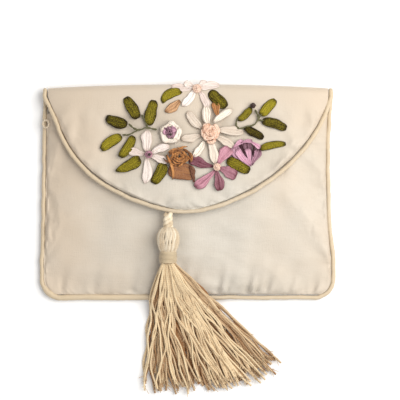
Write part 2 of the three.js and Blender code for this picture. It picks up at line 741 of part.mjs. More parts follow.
function flower({ at, petals }) {
  const [x, y] = sprayPlace(at);
  const pieces = petals.map(({ turn, reach, width }) => {
    const angle = radians(turn);
    const length = reach * SPRAY_WIDTH;
    const base = -0.1 * RIBBON_WIDTH;
    const start = [x + base * Math.cos(angle), y + base * Math.sin(angle)];
    const end = [x + length * Math.cos(angle), y + length * Math.sin(angle)];
    return ribbonStitch(start, end, width * RIBBON_WIDTH, 0, ROUNDED);
  });
  return fuse(pieces);
}

// A gathered ribbon, from a profile of shares of its radius and height.
function rose({ at, radii, rise, lobes, on }) {
  const [x, y] = sprayPlace(at);
  const profile = [
    { out: 0.82, up: 0 },
    { out: 1, up: 0.4 },
    { out: 0.86, up: 0.82 },
    { out: 0.62, up: 1 },
    { out: 0.46, up: 0.74 },
    { out: 0.22, up: 0.94 },
  ];
  const count = lobes > 4 ? 18 : 12;
  const base = on * (RIBBON_RISE + GAP) + GAP;
  const rings = profile.map(({ out, up }, index) =>
    Array.from({ length: count }, (_, i) => {
      const angle = (2 * Math.PI * i) / count;
      const reach = out * (1 + 0.08 * Math.cos(lobes * angle + index));
      const px = x + radii[0] * SPRAY_WIDTH * reach * Math.cos(angle);
      const py = y + radii[1] * SPRAY_WIDTH * reach * Math.sin(angle);
      return [px, py, flapTop(px, py) + base + up * rise * RIBBON_RISE];
    }),
  );
  return loft(rings);
}

const group = new THREE.Group();

function add(name, geometry, finish) {
  const mesh = new THREE.Mesh(geometry, new THREE.MeshStandardMaterial(finish));
  mesh.name = name;
  group.add(mesh);
}

add("back_and_flap", backAndFlap(), SILK);
add("front_panel", frontPanel(), SILK);
add("body_piping", bodyPiping(), PIPING_SILK);
add("flap_piping", flapPiping(), PIPING_SILK);
add("snap", snap(), SNAP_METAL);
add("side_loop", sideLoop(), LOOP_THREAD);
add("tassel_loop", tasselLoop(), TASSEL_THREAD);
add("tassel", tassel(), TASSEL_THREAD);
add("tassel_binding", tasselBinding(), TASSEL_THREAD);
LEAVES.forEach(({ start, end, width, bow }, index) => {
  const name = "leaf_" + String(index + 1).padStart(2, "0");
  add(name, stitch({ start, end, width, bow }), LEAF_RIBBON);
});
for (const row of STITCHES) add(row.name, stitch(row), row.finish);
for (const row of FLOWERS) add(row.name, flower(row), row.finish);
for (const row of ROSES) add(row.name, rose(row), row.finish);

export default group;
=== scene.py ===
"""A cream silk envelope purse with ribbon flowers and a tassel, lying on its back."""

import math
import random

import bpy
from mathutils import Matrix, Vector, noise


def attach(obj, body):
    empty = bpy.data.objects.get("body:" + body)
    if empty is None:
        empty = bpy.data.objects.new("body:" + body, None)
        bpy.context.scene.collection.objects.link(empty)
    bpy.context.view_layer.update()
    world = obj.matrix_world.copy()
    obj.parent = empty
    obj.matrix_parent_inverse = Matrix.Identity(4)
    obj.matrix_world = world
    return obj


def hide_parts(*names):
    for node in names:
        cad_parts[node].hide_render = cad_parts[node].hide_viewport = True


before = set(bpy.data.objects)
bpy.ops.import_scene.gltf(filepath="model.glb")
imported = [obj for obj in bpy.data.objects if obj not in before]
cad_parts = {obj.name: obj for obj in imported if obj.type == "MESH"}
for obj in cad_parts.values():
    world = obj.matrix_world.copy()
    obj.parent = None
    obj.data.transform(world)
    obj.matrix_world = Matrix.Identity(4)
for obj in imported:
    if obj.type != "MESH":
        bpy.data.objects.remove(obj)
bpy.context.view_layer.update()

# Sizes of the purse, in millimetres, as its solids have them
MM = 0.001
PURSE_WIDTH = 122.4
PURSE_HEIGHT = 89
CLOTH = 1.6
HEM = 1.0
PIPING = 1.8
GAP = 0.3
CORNER_LEFT = 9
CORNER_RIGHT = 8.5
CORNER_EASE = 1
WAIST_LEFT = 0.9
WAIST_RIGHT = 2.1
WAIST_ABOVE_MIDDLE = 9
WAIST_REACH = 37
LEAN_LEFT = 1.5
LEAN_RIGHT = 0.3
POCKET_DEPTH = 6
POCKET_DEPTH_AT_FOLD = 3
MOUTH_BELOW_FOLD = 12
FOLD_ROUND = 2.4
FOLD_CROWN = 1.8
GATHER_LENGTH = 9
FLAP_DEPTH = 53.5
FLAP_LIFT = 0.8
FLAP_SWEEP = 85
SNAP_DIAMETER = 9
SNAP_THICKNESS = 1.4
SNAP_MARGIN = 1
SNAP_ABOVE_TIP = 14
SNAP_SWELL = 30
RING_DIAMETER = 3.6
RING_THREAD = 0.8
RING_BELOW_FOLD = 16.4
TASSEL_X = -7.9
HANGER_LENGTH = 5.2
HEAD_LENGTH = 9.4
HEAD_WIDTH = 9
HEAD_THICKNESS = 7
BINDING_LENGTH = 5
BINDING_WALL = 0.7
NECK_WIDTH = 5.2
NECK_THICKNESS = 4.4
SKIRT_LENGTH = 52
FAN_LEFT = 9
FAN_RIGHT = 45
FAN_RISE = 13
DRAPE_LENGTH = 9

# Sizes that only the looks have
STRAND = 0.86
HAIR = 0.22
HAIRS_PER_STRAND = 5
STRANDS = 138
UNDER_STRANDS = 110
HEAD_THREADS = 44
HEAD_THREAD = 0.76
BINDING_THREAD = 0.5
HANGER_PLY = 1.96
LOOP_PLY = 0.48
STEM_THREAD = 0.5
SILK_SKIN = 0.05
TUCK = 0.35
RIBBON_THICKNESS = 0.06

# How the pocket swells: powers of the shares across and up, and where it sinks again towards the fold
SWELL_ACROSS = 3.4
SWELL_ACROSS_EASE = 0.8
SWELL_UP = 6
SWELL_UP_EASE = 0.75
SINKS_FROM = 0.72
SINKS_OVER = 0.28

# Each side's outline and flap edge, which differ a little
LEFT = {"sign": -1, "corner": CORNER_LEFT, "waist": WAIST_LEFT, "lean": LEAN_LEFT}
LEFT |= {"fullness": 1.63, "taper": 25, "taper_ease": 2.8}
RIGHT = {"sign": 1, "corner": CORNER_RIGHT, "waist": WAIST_RIGHT, "lean": LEAN_RIGHT}
RIGHT |= {"fullness": 1.52, "taper": 12.3, "taper_ease": 1}

# How far in the seams lie, and where the parts begin and end, up from the purse's middle
SEAM_INSET = PIPING + GAP
FOLD_Y = PURSE_HEIGHT / 2
BOTTOM_Y = -PURSE_HEIGHT / 2
FLAP_TIP_Y = FOLD_Y - FLAP_DEPTH
SNAP_Y = FLAP_TIP_Y + SNAP_ABOVE_TIP
HANGER_Y = FLAP_TIP_Y - GAP
HEAD_Y = HANGER_Y - HANGER_LENGTH - GAP
NECK_Y = HEAD_Y - HEAD_LENGTH
SKIRT_Y = NECK_Y - BINDING_LENGTH - 2 * GAP

# The middle of the embroidery, in millimetres
SPRAY_MIDDLE = (3, 25)

# Where the silk is palest, in millimetres: the middle of the painted light, away from which the silk is
# painted darker and warmer as shade
PAINTED_LIGHT_MIDDLE = (12, -14, 8)

# Where the photograph's frame lies: its middle and its width, in millimetres
PHOTO_MIDDLE = (5.2, -3.3)
PHOTO_SPAN = 164.7

# The photograph's width and the purse's middle in it, in pixels
PHOTO_PIXELS = 400
PURSE_PIXEL = (187.5, 192)

# The camera's height and the height where it has the photograph's scale, in metres
CAMERA_HEIGHT = 1.1
SCALE_HEIGHT = 0.008
SENSOR_WIDTH = 36

# Lights: place and size in metres, and colour as shares of red, green and blue
LIGHTS = {
    "key": {"place": (0.31, 0.09, 0.45), "size": 0.5, "watts": 3.85, "colour": (1.0, 0.98, 0.95)},
    "fill": {"place": (-0.5, -0.2, 0.7), "size": 0.6, "watts": 1.3, "colour": (0.98, 0.98, 1.0)},
}
SKY_STRENGTH = 0.45

# Rows and columns of the silk's grids
FRONT_COLUMNS = 146
SHELL_COLUMNS = 110
FLAP_ROWS = 66
FOLD_STEPS = 20
SETTLING_STEPS = 20


def clamp(value, low=0.0, high=1.0):
    return max(low, min(high, value))


def lerp(a, b, share):
    return a + (b - a) * share


def smooth(value):
    """A share that starts and ends softly."""
    t = clamp(value)
    return t * t * (3 - 2 * t)


def side_at(hand, y, inset):
    """How far the outline, drawn in by an inset, lies from the middle at a height on one side."""
    radius = hand["corner"] - inset
    from_waist = (y - WAIST_ABOVE_MIDDLE) / WAIST_REACH
    leaning = clamp(y / (PURSE_HEIGHT / 2))
    drawn_in = hand["waist"] * max(0, 1 - from_waist * from_waist) + hand["lean"] * leaning * leaning
    straight = PURSE_WIDTH / 2 - inset - drawn_in
    into = clamp(BOTTOM_Y + inset + radius - y, 0, radius)
    return straight - radius + math.sqrt(radius * radius - into * into)


def swell(x, y):
    """How much the pocket swells at a place, from 0 at the seams to 1 in the middle."""
    hand = LEFT if x < 0 else RIGHT
    u = clamp(abs(x) / side_at(hand, y, SEAM_INSET))
    v = clamp((y - BOTTOM_Y - SEAM_INSET) / (PURSE_HEIGHT - SEAM_INSET))
    across = (1 - u**SWELL_ACROSS) ** SWELL_ACROSS_EASE
    up = (1 - (1 - v) ** SWELL_UP) ** SWELL_UP_EASE
    sunk = smooth((v - SINKS_FROM) / SINKS_OVER)
    return across * up * lerp(1, POCKET_DEPTH_AT_FOLD / POCKET_DEPTH, sunk)


def front_low(x, y):
    """The height of the front panel's inner face."""
    return CLOTH + GAP + POCKET_DEPTH * swell(x, y)


def front_top(x, y):
    """The height of the front panel's outer face, thinner at its seams."""
    return front_low(x, y) + lerp(HEM, CLOTH, clamp(swell(x, y) * 3))


def flap_low(x, y):
    """The height of the flap's inner face, which lifts over the snap."""
    away = math.hypot(x, y - SNAP_Y)
    over = 1 - smooth((away - SNAP_DIAMETER / 2 - SNAP_MARGIN) / SNAP_SWELL)
    return front_top(x, y) + lerp(FLAP_LIFT, SNAP_THICKNESS + 3 * GAP, over)


def fold_edge(x):
    """How far up the fold reaches, most in the middle."""
    return FOLD_Y - FOLD_CROWN * (x / (PURSE_WIDTH / 2)) ** 2


def fold_centre(x):
    """The height up the purse at which the cloth starts to turn over."""
    return fold_edge(x) - FOLD_ROUND - CLOTH / 2


def fold_radius(x):
    return flap_low(x, fold_centre(x)) / 2


def flap_top(x, y):
    """The flap's upper face, which rounds down where it nears the fold."""
    start = fold_centre(x)
    if y <= start:
        return flap_low(x, y) + CLOTH
    share = clamp((y - start) / (FOLD_ROUND + CLOTH / 2), 0, 0.8)
    return (fold_radius(x) + CLOTH / 2) * (1 + math.sqrt(1 - share * share))


def flap_edge(hand, share):
    """The flap's cloth edge on one side, from the fold at 0 to the tip at 1."""
    most = math.radians(FLAP_SWEEP)
    start = fold_centre(PURSE_WIDTH / 2)
    width = side_at(hand, start, SEAM_INSET)
    down = math.sin(share * most) / math.sin(most)
    depth = start - FLAP_TIP_Y - SEAM_INSET
    drawn_in = hand["taper"] * down * (1 - down) ** hand["taper_ease"]
    x = hand["sign"] * (width * math.cos(share * most) ** (2 / hand["fullness"]) - drawn_in)
    return x, start - depth * down


def rest_height(x, y):
    """What the tassel lies on: the front, its piping, and then the surface below."""
    piping_top = CLOTH + GAP / 2 + PIPING / 2
    if y >= BOTTOM_Y + SEAM_INSET:
        return max(front_top(x, y), piping_top)
    return piping_top * (1 - smooth((BOTTOM_Y - y) / DRAPE_LENGTH))


HEAD_Z = GAP + HEAD_THICKNESS / 2 + max(
    rest_height(TASSEL_X, HEAD_Y - HEAD_LENGTH / 2), rest_height(TASSEL_X, HEAD_Y - HEAD_LENGTH / 4)
)
NECK_Z = rest_height(TASSEL_X, NECK_Y) + BINDING_WALL + 2 * GAP + NECK_THICKNESS / 2


class Socket:
    """A node's output whose arithmetic adds Math nodes."""

    def __init__(self, finish, link):
        self.finish = finish
        self.link = link

    def maths(self, operation, *values):
        return self.finish.node("ShaderNodeMath", {"operation": operation}, dict(enumerate(values)))

    def __add__(self, other):
        return self.maths("ADD", self, other)

    def __mul__(self, other):
        return self.maths("MULTIPLY", self, other)

    __radd__ = __add__
    __rmul__ = __mul__


class Finish:
    """A material and the nodes that its maker adds to it."""

    def __init__(self, name, **constants):
        self.material = bpy.data.materials.new(name)
        self.material.use_nodes = True
        self.tree = self.material.node_tree
        self.shader = self.tree.nodes["Principled BSDF"]
        for socket, value in constants.items():
            self.shader.inputs[socket.replace("_", " ")].default_value = value

    def node(self, kind, settings, sockets, output=0):
        made = self.tree.nodes.new(kind)
        for key, value in settings.items():
            setattr(made, key, value)
        for key, value in sockets.items():
            if isinstance(value, Socket):
                self.tree.links.new(value.link, made.inputs[key])
            else:
                made.inputs[key].default_value = value
        return Socket(self, made.outputs[output])

    def object_place(self, scale=(1, 1, 1)):
        """Object coordinates in millimetres, stretched by a scale."""
        place = self.node("ShaderNodeTexCoord", {}, {}, "Object")
        grown = tuple(1 / MM * value for value in scale)
        return self.node("ShaderNodeMapping", {}, {"Vector": place, "Scale": grown})

    def map_place(self, scale=(1, 1, 1)):
        place = self.node("ShaderNodeUVMap", {"uv_map": "map"}, {})
        return self.node("ShaderNodeMapping", {}, {"Vector": place, "Scale": scale})

    def noise(self, place, size, detail=3.0, rough=0.55):
        sockets = {"Vector": place, "Scale": 1 / size, "Detail": detail, "Roughness": rough}
        return self.node("ShaderNodeTexNoise", {}, sockets)

    def blend(self, share, first, second):
        return self.node("ShaderNodeMix", {"data_type": "RGBA"}, {0: share, 6: first, 7: second}, 2)

    def ramp(self, value, low, high):
        sockets = {"Value": value, "From Min": low, "From Max": high}
        return self.node("ShaderNodeMapRange", {"clamp": True}, sockets)

    def tone(self):
        return self.node("ShaderNodeAttribute", {"attribute_name": "tone"}, {}, "Fac")

    def wear(self, colour, roughness, height, depth):
        """Takes a colour, a roughness where it varies, and a relief of a depth in millimetres."""
        self.tree.links.new(colour.link, self.shader.inputs["Base Color"])
        if roughness:
            self.tree.links.new(roughness.link, self.shader.inputs["Roughness"])
        sockets = {"Height": height, "Strength": 1.0, "Distance": depth * MM}
        bump = self.node("ShaderNodeBump", {}, sockets)
        self.tree.links.new(bump.link, self.shader.inputs["Normal"])
        return self.material


def rgb(red, green, blue):
    """A colour given as the eye sees it, 0 to 255, as the linear values that a shader takes."""

    def linear(value):
        share = value / 255
        return share / 12.92 if share <= 0.04045 else ((share + 0.055) / 1.055) ** 2.4

    return (linear(red), linear(green), linear(blue), 1.0)


def silk_finish(name, light, shade, warm_painted_shade, slub=1.0):
    """Plain-woven silk: uneven threads both ways, a soft sheen, and painted shade that makes it darker and
    warmer towards the purse's edges, away from a pale middle where the light falls.
    """
    finish = Finish(name, Sheen_Weight=0.2, Sheen_Roughness=0.4, Specular_IOR_Level=0.3)
    across = finish.noise(finish.object_place((0.12, 1, 1)), size=0.5, detail=4)
    along = finish.noise(finish.object_place((1, 0.1, 1)), size=0.42, detail=4)
    grain = finish.noise(finish.object_place(), size=0.35, detail=2)
    clouds = finish.noise(finish.object_place((0.7, 1.3, 1)), size=14, detail=4, rough=0.6)
    streaks = finish.noise(finish.object_place((0.08, 1, 1)), size=1.6, detail=3)
    thread = across * 0.5 + along * 0.5
    tone = finish.ramp(clouds * 0.5 + streaks * 0.2 + thread * 0.4 * slub, 0.35, 0.8)
    ends = {0: finish.object_place(), 1: PAINTED_LIGHT_MIDDLE}
    from_middle = finish.node("ShaderNodeVectorMath", {"operation": "DISTANCE"}, ends, "Value")
    drift = finish.noise(finish.object_place(), size=24, detail=2)
    # Painted shade: the silk turns darker and warmer with the distance from the middle of the painted light,
    # broken by a slow random drift
    painted_shade_share = finish.ramp(from_middle * 0.011 + drift * 0.7, 0.5, 1.15)
    colour = finish.blend(tone, finish.blend(painted_shade_share, shade, warm_painted_shade), finish.blend(painted_shade_share, light, warm_painted_shade))
    height = across * 0.45 + along * 0.4 + grain * 0.3
    return finish.wear(colour, finish.ramp(thread, -0.6, 1.6), height, 0.2)


def ribbon_finish(name, light, dark, speckle=0.3, gloss=0.35):
    """Satin ribbon: fine ribs along it, a speckled weave, and the tone of each ribbon, which holds painted
    shade in its folds, at its ends and edges, and painted highlights on its pleats.
    """
    finish = Finish(name, Sheen_Weight=0.1, Specular_IOR_Level=gloss)
    ribs = finish.noise(finish.map_place((2.2, 12, 1)), size=1, detail=3)
    weave = finish.noise(finish.map_place((30, 16, 1)), size=1, detail=1)
    streaks = finish.noise(finish.map_place((1.4, 4, 1)), size=1, detail=2)
    mixed = streaks * 0.45 + ribs * 0.35 + weave * speckle + finish.tone() * 0.9
    tone = finish.ramp(mixed, 0.45 + speckle / 2, 1.3 + speckle / 2)
    height = ribs * 0.6 + weave * 0.5 + streaks * 0.4
    return finish.wear(finish.blend(tone, dark, light), finish.ramp(ribs, -0.6, 1.7), height, 0.3)


def thread_finish(name, light, dark, ply=0.3, gloss=0.45, roughness=0.5):
    """Twisted thread: slanting plies round it, with painted shade in the grooves between them, each thread
    with its own tone.
    """
    finish = Finish(name, Sheen_Weight=0.2, Specular_IOR_Level=gloss, Roughness=roughness)
    plies = finish.node(
        "ShaderNodeTexWave",
        {"wave_type": "BANDS", "bands_direction": "DIAGONAL", "wave_profile": "SIN"},
        {"Vector": finish.map_place(), "Scale": 0.62, "Distortion": 0.4},
        "Fac",
    )
    drift = finish.noise(finish.object_place(), size=5, detail=2)
    # The plies darken the colour along their grooves as painted shade, as well as giving the bump
    tone = finish.ramp(plies * ply + drift * 0.35 + finish.tone() * 0.75, 0.15 + ply * 0.3, 1.05 + ply * 0.5)
    return finish.wear(finish.blend(tone, dark, light), None, plies, 0.4 * ply)


def new_piece(name, mesh):
    piece = bpy.data.objects.new(name, mesh)
    bpy.context.scene.collection.objects.link(piece)
    return piece


def only(piece):
    """Makes a piece the one that is selected and active."""
    bpy.ops.object.select_all(action="DESELECT")
    piece.select_set(True)
    bpy.context.view_layer.objects.active = piece


def dress(piece, finish, slot, *nodes):
    piece.data.materials.clear()
    piece.data.materials.append(finish)
    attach(piece, "root")
    if nodes:
        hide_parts(*nodes)
    return piece


def smooth_shaded(piece, angle=50):
    only(piece)
    bpy.ops.object.shade_smooth_by_angle(angle=math.radians(angle))
    return piece


def wall(name, upper, lower):
    """Closes two grids of points in millimetres, with the same rows and columns, into one cloth."""
    rows, columns = len(upper), len(upper[0])
    below = rows * columns
    faces = []

    def at(i, j):
        return i * columns + j

    def quad(a, b, c, d):
        faces.append((a, b, c, d))

    for i in range(rows - 1):
        for j in range(columns - 1):
            quad(at(i, j), at(i, j + 1), at(i + 1, j + 1), at(i + 1, j))
            quad(below + at(i, j), below + at(i + 1, j), below + at(i + 1, j + 1), below + at(i, j + 1))
        end = columns - 1
        quad(at(i, 0), at(i + 1, 0), below + at(i + 1, 0), below + at(i, 0))
        quad(at(i + 1, end), at(i, end), below + at(i, end), below + at(i + 1, end))
    for j in range(columns - 1):
        end = rows - 1
        quad(at(0, j + 1), at(0, j), below + at(0, j), below + at(0, j + 1))
        quad(at(end, j), at(end, j + 1), below + at(end, j + 1), below + at(end, j))
    points = [Vector(p) * MM for row in upper + lower for p in row]
    mesh = bpy.data.meshes.new(name)
    mesh.from_pydata(points, [], faces)
    piece = new_piece(name, mesh)
    only(piece)
    bpy.ops.object.mode_set(mode="EDIT")
    bpy.ops.mesh.select_all(action="SELECT")
    bpy.ops.mesh.normals_make_consistent(inside=False)
    bpy.ops.object.mode_set(mode="OBJECT")
    return smooth_shaded(piece)


def through(points, per_span):
    """A smooth run of places through the given ones."""
    made = []
    given = [Vector(p) for p in points]
    padded = [2 * given[0] - given[1], *given, 2 * given[-1] - given[-2]]
    for i in range(1, len(padded) - 2):
        a, b, c, d = padded[i - 1 : i + 3]
        for k in range(per_span):
            t = k / per_span
            slope = (c - a) * t + (2 * a - 5 * b + 4 * c - d) * t * t + (3 * b - a - 3 * c + d) * t**3
            made.append(b + slope * 0.5)
    made.append(given[-1])
    return made


def tubes(name, paths, radius, sides=6, tones=None, grow=None):
    """Closed tubes along paths in millimetres, joined, each with its own tone and a map round and along it.

    Where the thickness isn't the same all along, grow gives the share of the radius at a place.
    """
    points, faces, maps, shades = [], [], [], []
    for index, path in enumerate(paths):
        tone = tones[index] if tones else 0.5
        first = len(points)
        normal = Vector((0, 0, 1))
        length = 0.0
        lengths = []
        for i, place in enumerate(path):
            before, after = path[max(0, i - 1)], path[min(len(path) - 1, i + 1)]
            heading = (after - before).normalized()
            normal = (normal - heading * normal.dot(heading))
            normal = normal.normalized() if normal.length > 1e-4 else heading.orthogonal().normalized()
            across = heading.cross(normal)
            length += (place - path[i - 1]).length if i else 0
            lengths.append(length / (2 * radius))
            grown = radius * (grow(place) if grow else 1)
            for k in range(sides):
                angle = 2 * math.pi * k / sides
                points.append((place + (normal * math.cos(angle) + across * math.sin(angle)) * grown) * MM)
        for i in range(len(path) - 1):
            for k in range(sides):
                a, b = first + i * sides + k, first + i * sides + (k + 1) % sides
                faces.append((a, b, b + sides, a + sides))
                u, v = k / sides, (k + 1) / sides
                maps += [(u, lengths[i]), (v, lengths[i]), (v, lengths[i + 1]), (u, lengths[i + 1])]
        last = first + (len(path) - 1) * sides
        faces.append(tuple(first + k for k in reversed(range(sides))))
        maps += [(0, 0)] * sides
        faces.append(tuple(last + k for k in range(sides)))
        maps += [(0, lengths[-1])] * sides
        shades += [tone] * (len(path) * sides)
    mesh = bpy.data.meshes.new(name)
    mesh.from_pydata(points, [], faces)
    layer = mesh.uv_layers.new(name="map")
    layer.data.foreach_set("uv", [value for pair in maps for value in pair])
    mesh.attributes.new("tone", "FLOAT", "POINT").data.foreach_set("value", shades)
    return smooth_shaded(new_piece(name, mesh), 60)


# The camera looks straight down, as the photograph does
def add_camera():
    x, y = (value * MM for value in PHOTO_MIDDLE)
    bpy.ops.object.camera_add(location=(x, y, CAMERA_HEIGHT), rotation=(0, 0, 0))
    camera = bpy.context.object
    camera.data.sensor_width = SENSOR_WIDTH
    camera.data.lens = SENSOR_WIDTH * (CAMERA_HEIGHT - SCALE_HEIGHT) / (PHOTO_SPAN * MM)
    camera.data.clip_start = 0.05
    bpy.context.scene.camera = camera


def add_light(name, place, size, watts, colour):
    bpy.ops.object.light_add(type="AREA", location=place)
    light = bpy.context.object
    light.name = name
    light.data.size = size
    light.data.energy = watts
    light.data.color = colour
    light.rotation_euler = (-Vector(place)).to_track_quat("-Z", "Y").to_euler()


def add_studio():
    """A white floor, two soft lights and a pale sky."""
    bpy.context.scene.view_settings.view_transform = "Standard"
    bpy.ops.mesh.primitive_plane_add(size=4, location=(0, 0, 0))
    floor = bpy.context.object
    floor.name = "floor"
    finish = Finish("pale_floor", Roughness=0.9, Base_Color=rgb(246, 246, 246))
    floor.data.materials.append(finish.material)
    for name, light in LIGHTS.items():
        add_light(name, **light)
    world = bpy.data.worlds.new("studio")
    world.use_nodes = True
    sky = world.node_tree.nodes["Background"]
    sky.inputs["Color"].default_value = (1, 1, 1, 1)
    sky.inputs["Strength"].default_value = SKY_STRENGTH
    bpy.context.scene.world = world


def ripple(along, wave, seed):
    """An uneven wave along a seam, from -1 to 1."""
    return noise.noise(Vector((along / wave, seed, 0.3))) * 1.6


def soft_dents(x, y, size, seed):
    return noise.noise(Vector((x / size, y / size, seed)))


# Where the bottom seam is drawn up: across is a share of the half width, depth and width in millimetres
GATHERS = [
    {"across": -0.86, "width": 1.0, "depth": 0.8},
    {"across": -0.64, "width": 1.2, "depth": 0.7},
    {"across": -0.38, "width": 1.0, "depth": 0.9},
    {"across": -0.17, "width": 0.9, "depth": 1.6},
    {"across": -0.07, "width": 0.8, "depth": 1.4},
    {"across": 0.02, "width": 0.7, "depth": 0.8},
    {"across": 0.2, "width": 0.9, "depth": 1.6},
    {"across": 0.27, "width": 0.7, "depth": 0.9},
    {"across": 0.4, "width": 0.9, "depth": 1.9},
    {"across": 0.46, "width": 0.7, "depth": 1.2},
    {"across": 0.53, "width": 0.8, "depth": 1.3},
    {"across": 0.68, "width": 1.0, "depth": 0.9},
    {"across": 0.84, "width": 1.1, "depth": 0.8},
]


def front_relief(x, y):
    """Gathers at the bottom seam, puckers at the side seams and soft dents between."""
    hand = LEFT if x < 0 else RIGHT
    from_side = max(0, side_at(hand, y, SEAM_INSET) - abs(x))
    from_bottom = max(0, y - BOTTOM_Y - SEAM_INSET)
    depth = 0
    for gather in GATHERS:
        foot = gather["across"] * PURSE_WIDTH / 2 + 0.15 * from_bottom
        away = (x - foot) / (gather["width"] + 0.13 * from_bottom)
        ridge = 0.45 * math.exp(-((away - 1.7) ** 2))
        depth -= gather["depth"] * (math.exp(-away * away) - ridge) * math.exp(-from_bottom / GATHER_LENGTH)
    depth += 0.5 * ripple(x, wave=3.4, seed=1.7) * math.exp(-from_bottom / 4)
    depth += 0.4 * ripple(y, wave=4.2, seed=hand["sign"] * 3.1) * math.exp(-from_side / 4)
    wide = soft_dents(x, y, size=21, seed=4.0)
    narrow = soft_dents(x * 0.7 + y * 0.8, y - x * 0.5, size=9, seed=9.0)
    depth += 0.8 * wide + 0.45 * narrow
    held = smooth(min(from_side, from_bottom) / 1.6)
    return depth * held


def settled(rows, slack, most, seed):
    """How far a sewn sheet of silk lifts or sinks at each place when it settles, in millimetres.

    The sheet is held at its seams, is longer than they are by its slack close to them, and is lightly filled.
    """
    count, across = len(rows), len(rows[0])
    flat = [[0.0] * across for _ in rows]
    points = [Vector(place) * MM for row in rows for place in row]
    faces = []
    for i in range(count - 1):
        for j in range(across - 1):
            a = i * across + j
            faces.append((a, a + 1, a + across + 1, a + across))
    mesh = bpy.data.meshes.new("settling")
    mesh.from_pydata(points, [], faces)
    sheet = new_piece("settling", mesh)
    sewn = sheet.vertex_groups.new(name="sewn")
    taut = sheet.vertex_groups.new(name="taut")
    for i in range(count):
        for j in range(across):
            index = i * across + j
            edge = i in (0, count - 1) or j in (0, across - 1)
            sewn.add([index], 1.0 if edge else 0.0, "REPLACE")
            uneven = 0.7 + 0.9 * noise.noise(points[index] / MM / 6 + Vector((seed, 0, 0)))
            taut.add([index], 1 - clamp(slack(i, j) * uneven), "REPLACE")
    only(sheet)
    silk = sheet.modifiers.new("silk", "CLOTH").settings
    silk.quality = 4
    silk.mass = 0.02
    silk.tension_stiffness = silk.compression_stiffness = 20
    silk.shear_stiffness = 8
    silk.bending_stiffness = 0.03
    silk.vertex_group_mass = "sewn"
    silk.vertex_group_shrink = "taut"
    silk.shrink_min = -0.06
    silk.effector_weights.gravity = 0
    silk.use_pressure = True
    silk.uniform_pressure_force = 3.5
    for step in range(1, SETTLING_STEPS + 1):
        bpy.context.scene.frame_set(step)
    bpy.ops.object.modifier_apply(modifier="silk")
    for i in range(count):
        for j in range(across):
            index = i * across + j
            lift = (sheet.data.vertices[index].co.z - points[index].z) / MM
            flat[i][j] = most * math.tanh(lift / most)
    bpy.data.objects.remove(sheet)
    bpy.context.scene.frame_set(1)
    return flat


def grid_across(left, right, columns):
    """Places from left to right, closer together towards both ends."""
    shares = [2 * j / columns - 1 for j in range(columns + 1)]
    return [lerp(left, right, (lerp(s, math.sin(s * math.pi / 2), 0.45) + 1) / 2) for s in shares]


def row_heights(top, corner_rows, straight_rows):
    """Heights up the purse of a grid's rows, closer together in the round corners."""
    low = BOTTOM_Y + SEAM_INSET
    radius = max(CORNER_LEFT, CORNER_RIGHT) - SEAM_INSET
    rows = [low + radius * (1 - math.cos(math.pi / 2 * k / corner_rows)) for k in range(corner_rows)]
    return rows + [lerp(low + radius, top, k / straight_rows) for k in range(straight_rows + 1)]


def rolled(distance):
    """How far a cloth's face drops where it turns in to its seam."""
    return 0.6 * math.exp(-distance / 0.7)


def make_front():
    """The pocket's front panel: settled, gathered at the bottom, and open along its top edge."""
    top = FOLD_Y - MOUTH_BELOW_FOLD
    rows, edges = [], []
    for y in row_heights(top, corner_rows=9, straight_rows=76):
        left, right = -side_at(LEFT, y, SEAM_INSET - TUCK), side_at(RIGHT, y, SEAM_INSET - TUCK)
        row = grid_across(left, right, FRONT_COLUMNS)
        edges.append([min(x - left, right - x, y - BOTTOM_Y - SEAM_INSET) for x in row])
        rows.append([(x, y, front_top(x, y)) for x in row])
    relief = settled(rows, lambda i, j: math.exp(-edges[i][j] / 7), most=1.4, seed=3.0)
    upper, lower = [], []
    for i, row in enumerate(rows):
        lifts = [relief[i][j] + front_relief(x, y) for j, (x, y, z) in enumerate(row)]
        ease = [smooth(edge / 2) for edge in edges[i]]
        upper.append([(x, y, z + h - rolled(d)) for (x, y, z), h, d in zip(row, lifts, edges[i])])
        lower.append([(x, y, front_low(x, y) + h * 0.8 * e) for (x, y, z), h, e in zip(row, lifts, ease)])
    return wall("front_panel_silk", upper, lower)


def sewn_share(x, y):
    """How close a place is to the embroidery, whose stitches pucker the silk."""
    u, v = (x - SPRAY_MIDDLE[0]) / 40, (y - SPRAY_MIDDLE[1]) / 21
    return 0.5 * math.exp(-((u * u + v * v) ** 2))


def flap_relief(x, y, from_edge):
    """Puckers along the flap's piping and round the embroidery, and soft dents in its face."""
    edge_radius = 52
    sewn = sewn_share(x, y)
    along = math.atan2(FOLD_Y - y, x) * edge_radius
    depth = 0.36 * ripple(along, wave=4.6, seed=6.4) * math.exp(-from_edge / 4)
    wide = soft_dents(x, y, size=24, seed=2.5)
    narrow = soft_dents(x, y * 1.5, size=9, seed=5.5)
    upright = soft_dents(x * 3, y * 0.5, size=22, seed=8.2)
    depth += wide + 0.8 * narrow
    depth += 1.3 * upright * smooth((y - 4) / 25)
    depth += 1.1 * sewn * soft_dents(x, y, size=5.5, seed=7.5)
    spoke = math.atan2(y - SPRAY_MIDDLE[1], x - SPRAY_MIDDLE[0])
    depth += 1.3 * sewn * noise.noise(Vector((math.cos(spoke) * 3.2, math.sin(spoke) * 3.2, 4.4)))
    depth -= 1.6 * sewn * max(0, depth)
    return depth * smooth(from_edge / 2.5)


def shell_back():
    """The flat back's faces, row by row from the bottom seam up."""
    upper, lower = [], []
    for y in row_heights(FOLD_Y - 3 * FOLD_ROUND, corner_rows=10, straight_rows=24):
        row = grid_across(-side_at(LEFT, y, SEAM_INSET), side_at(RIGHT, y, SEAM_INSET), SHELL_COLUMNS)
        upper.append([(x, y, CLOTH) for x in row])
        lower.append([(x, y, 0) for x in row])
    return upper, lower


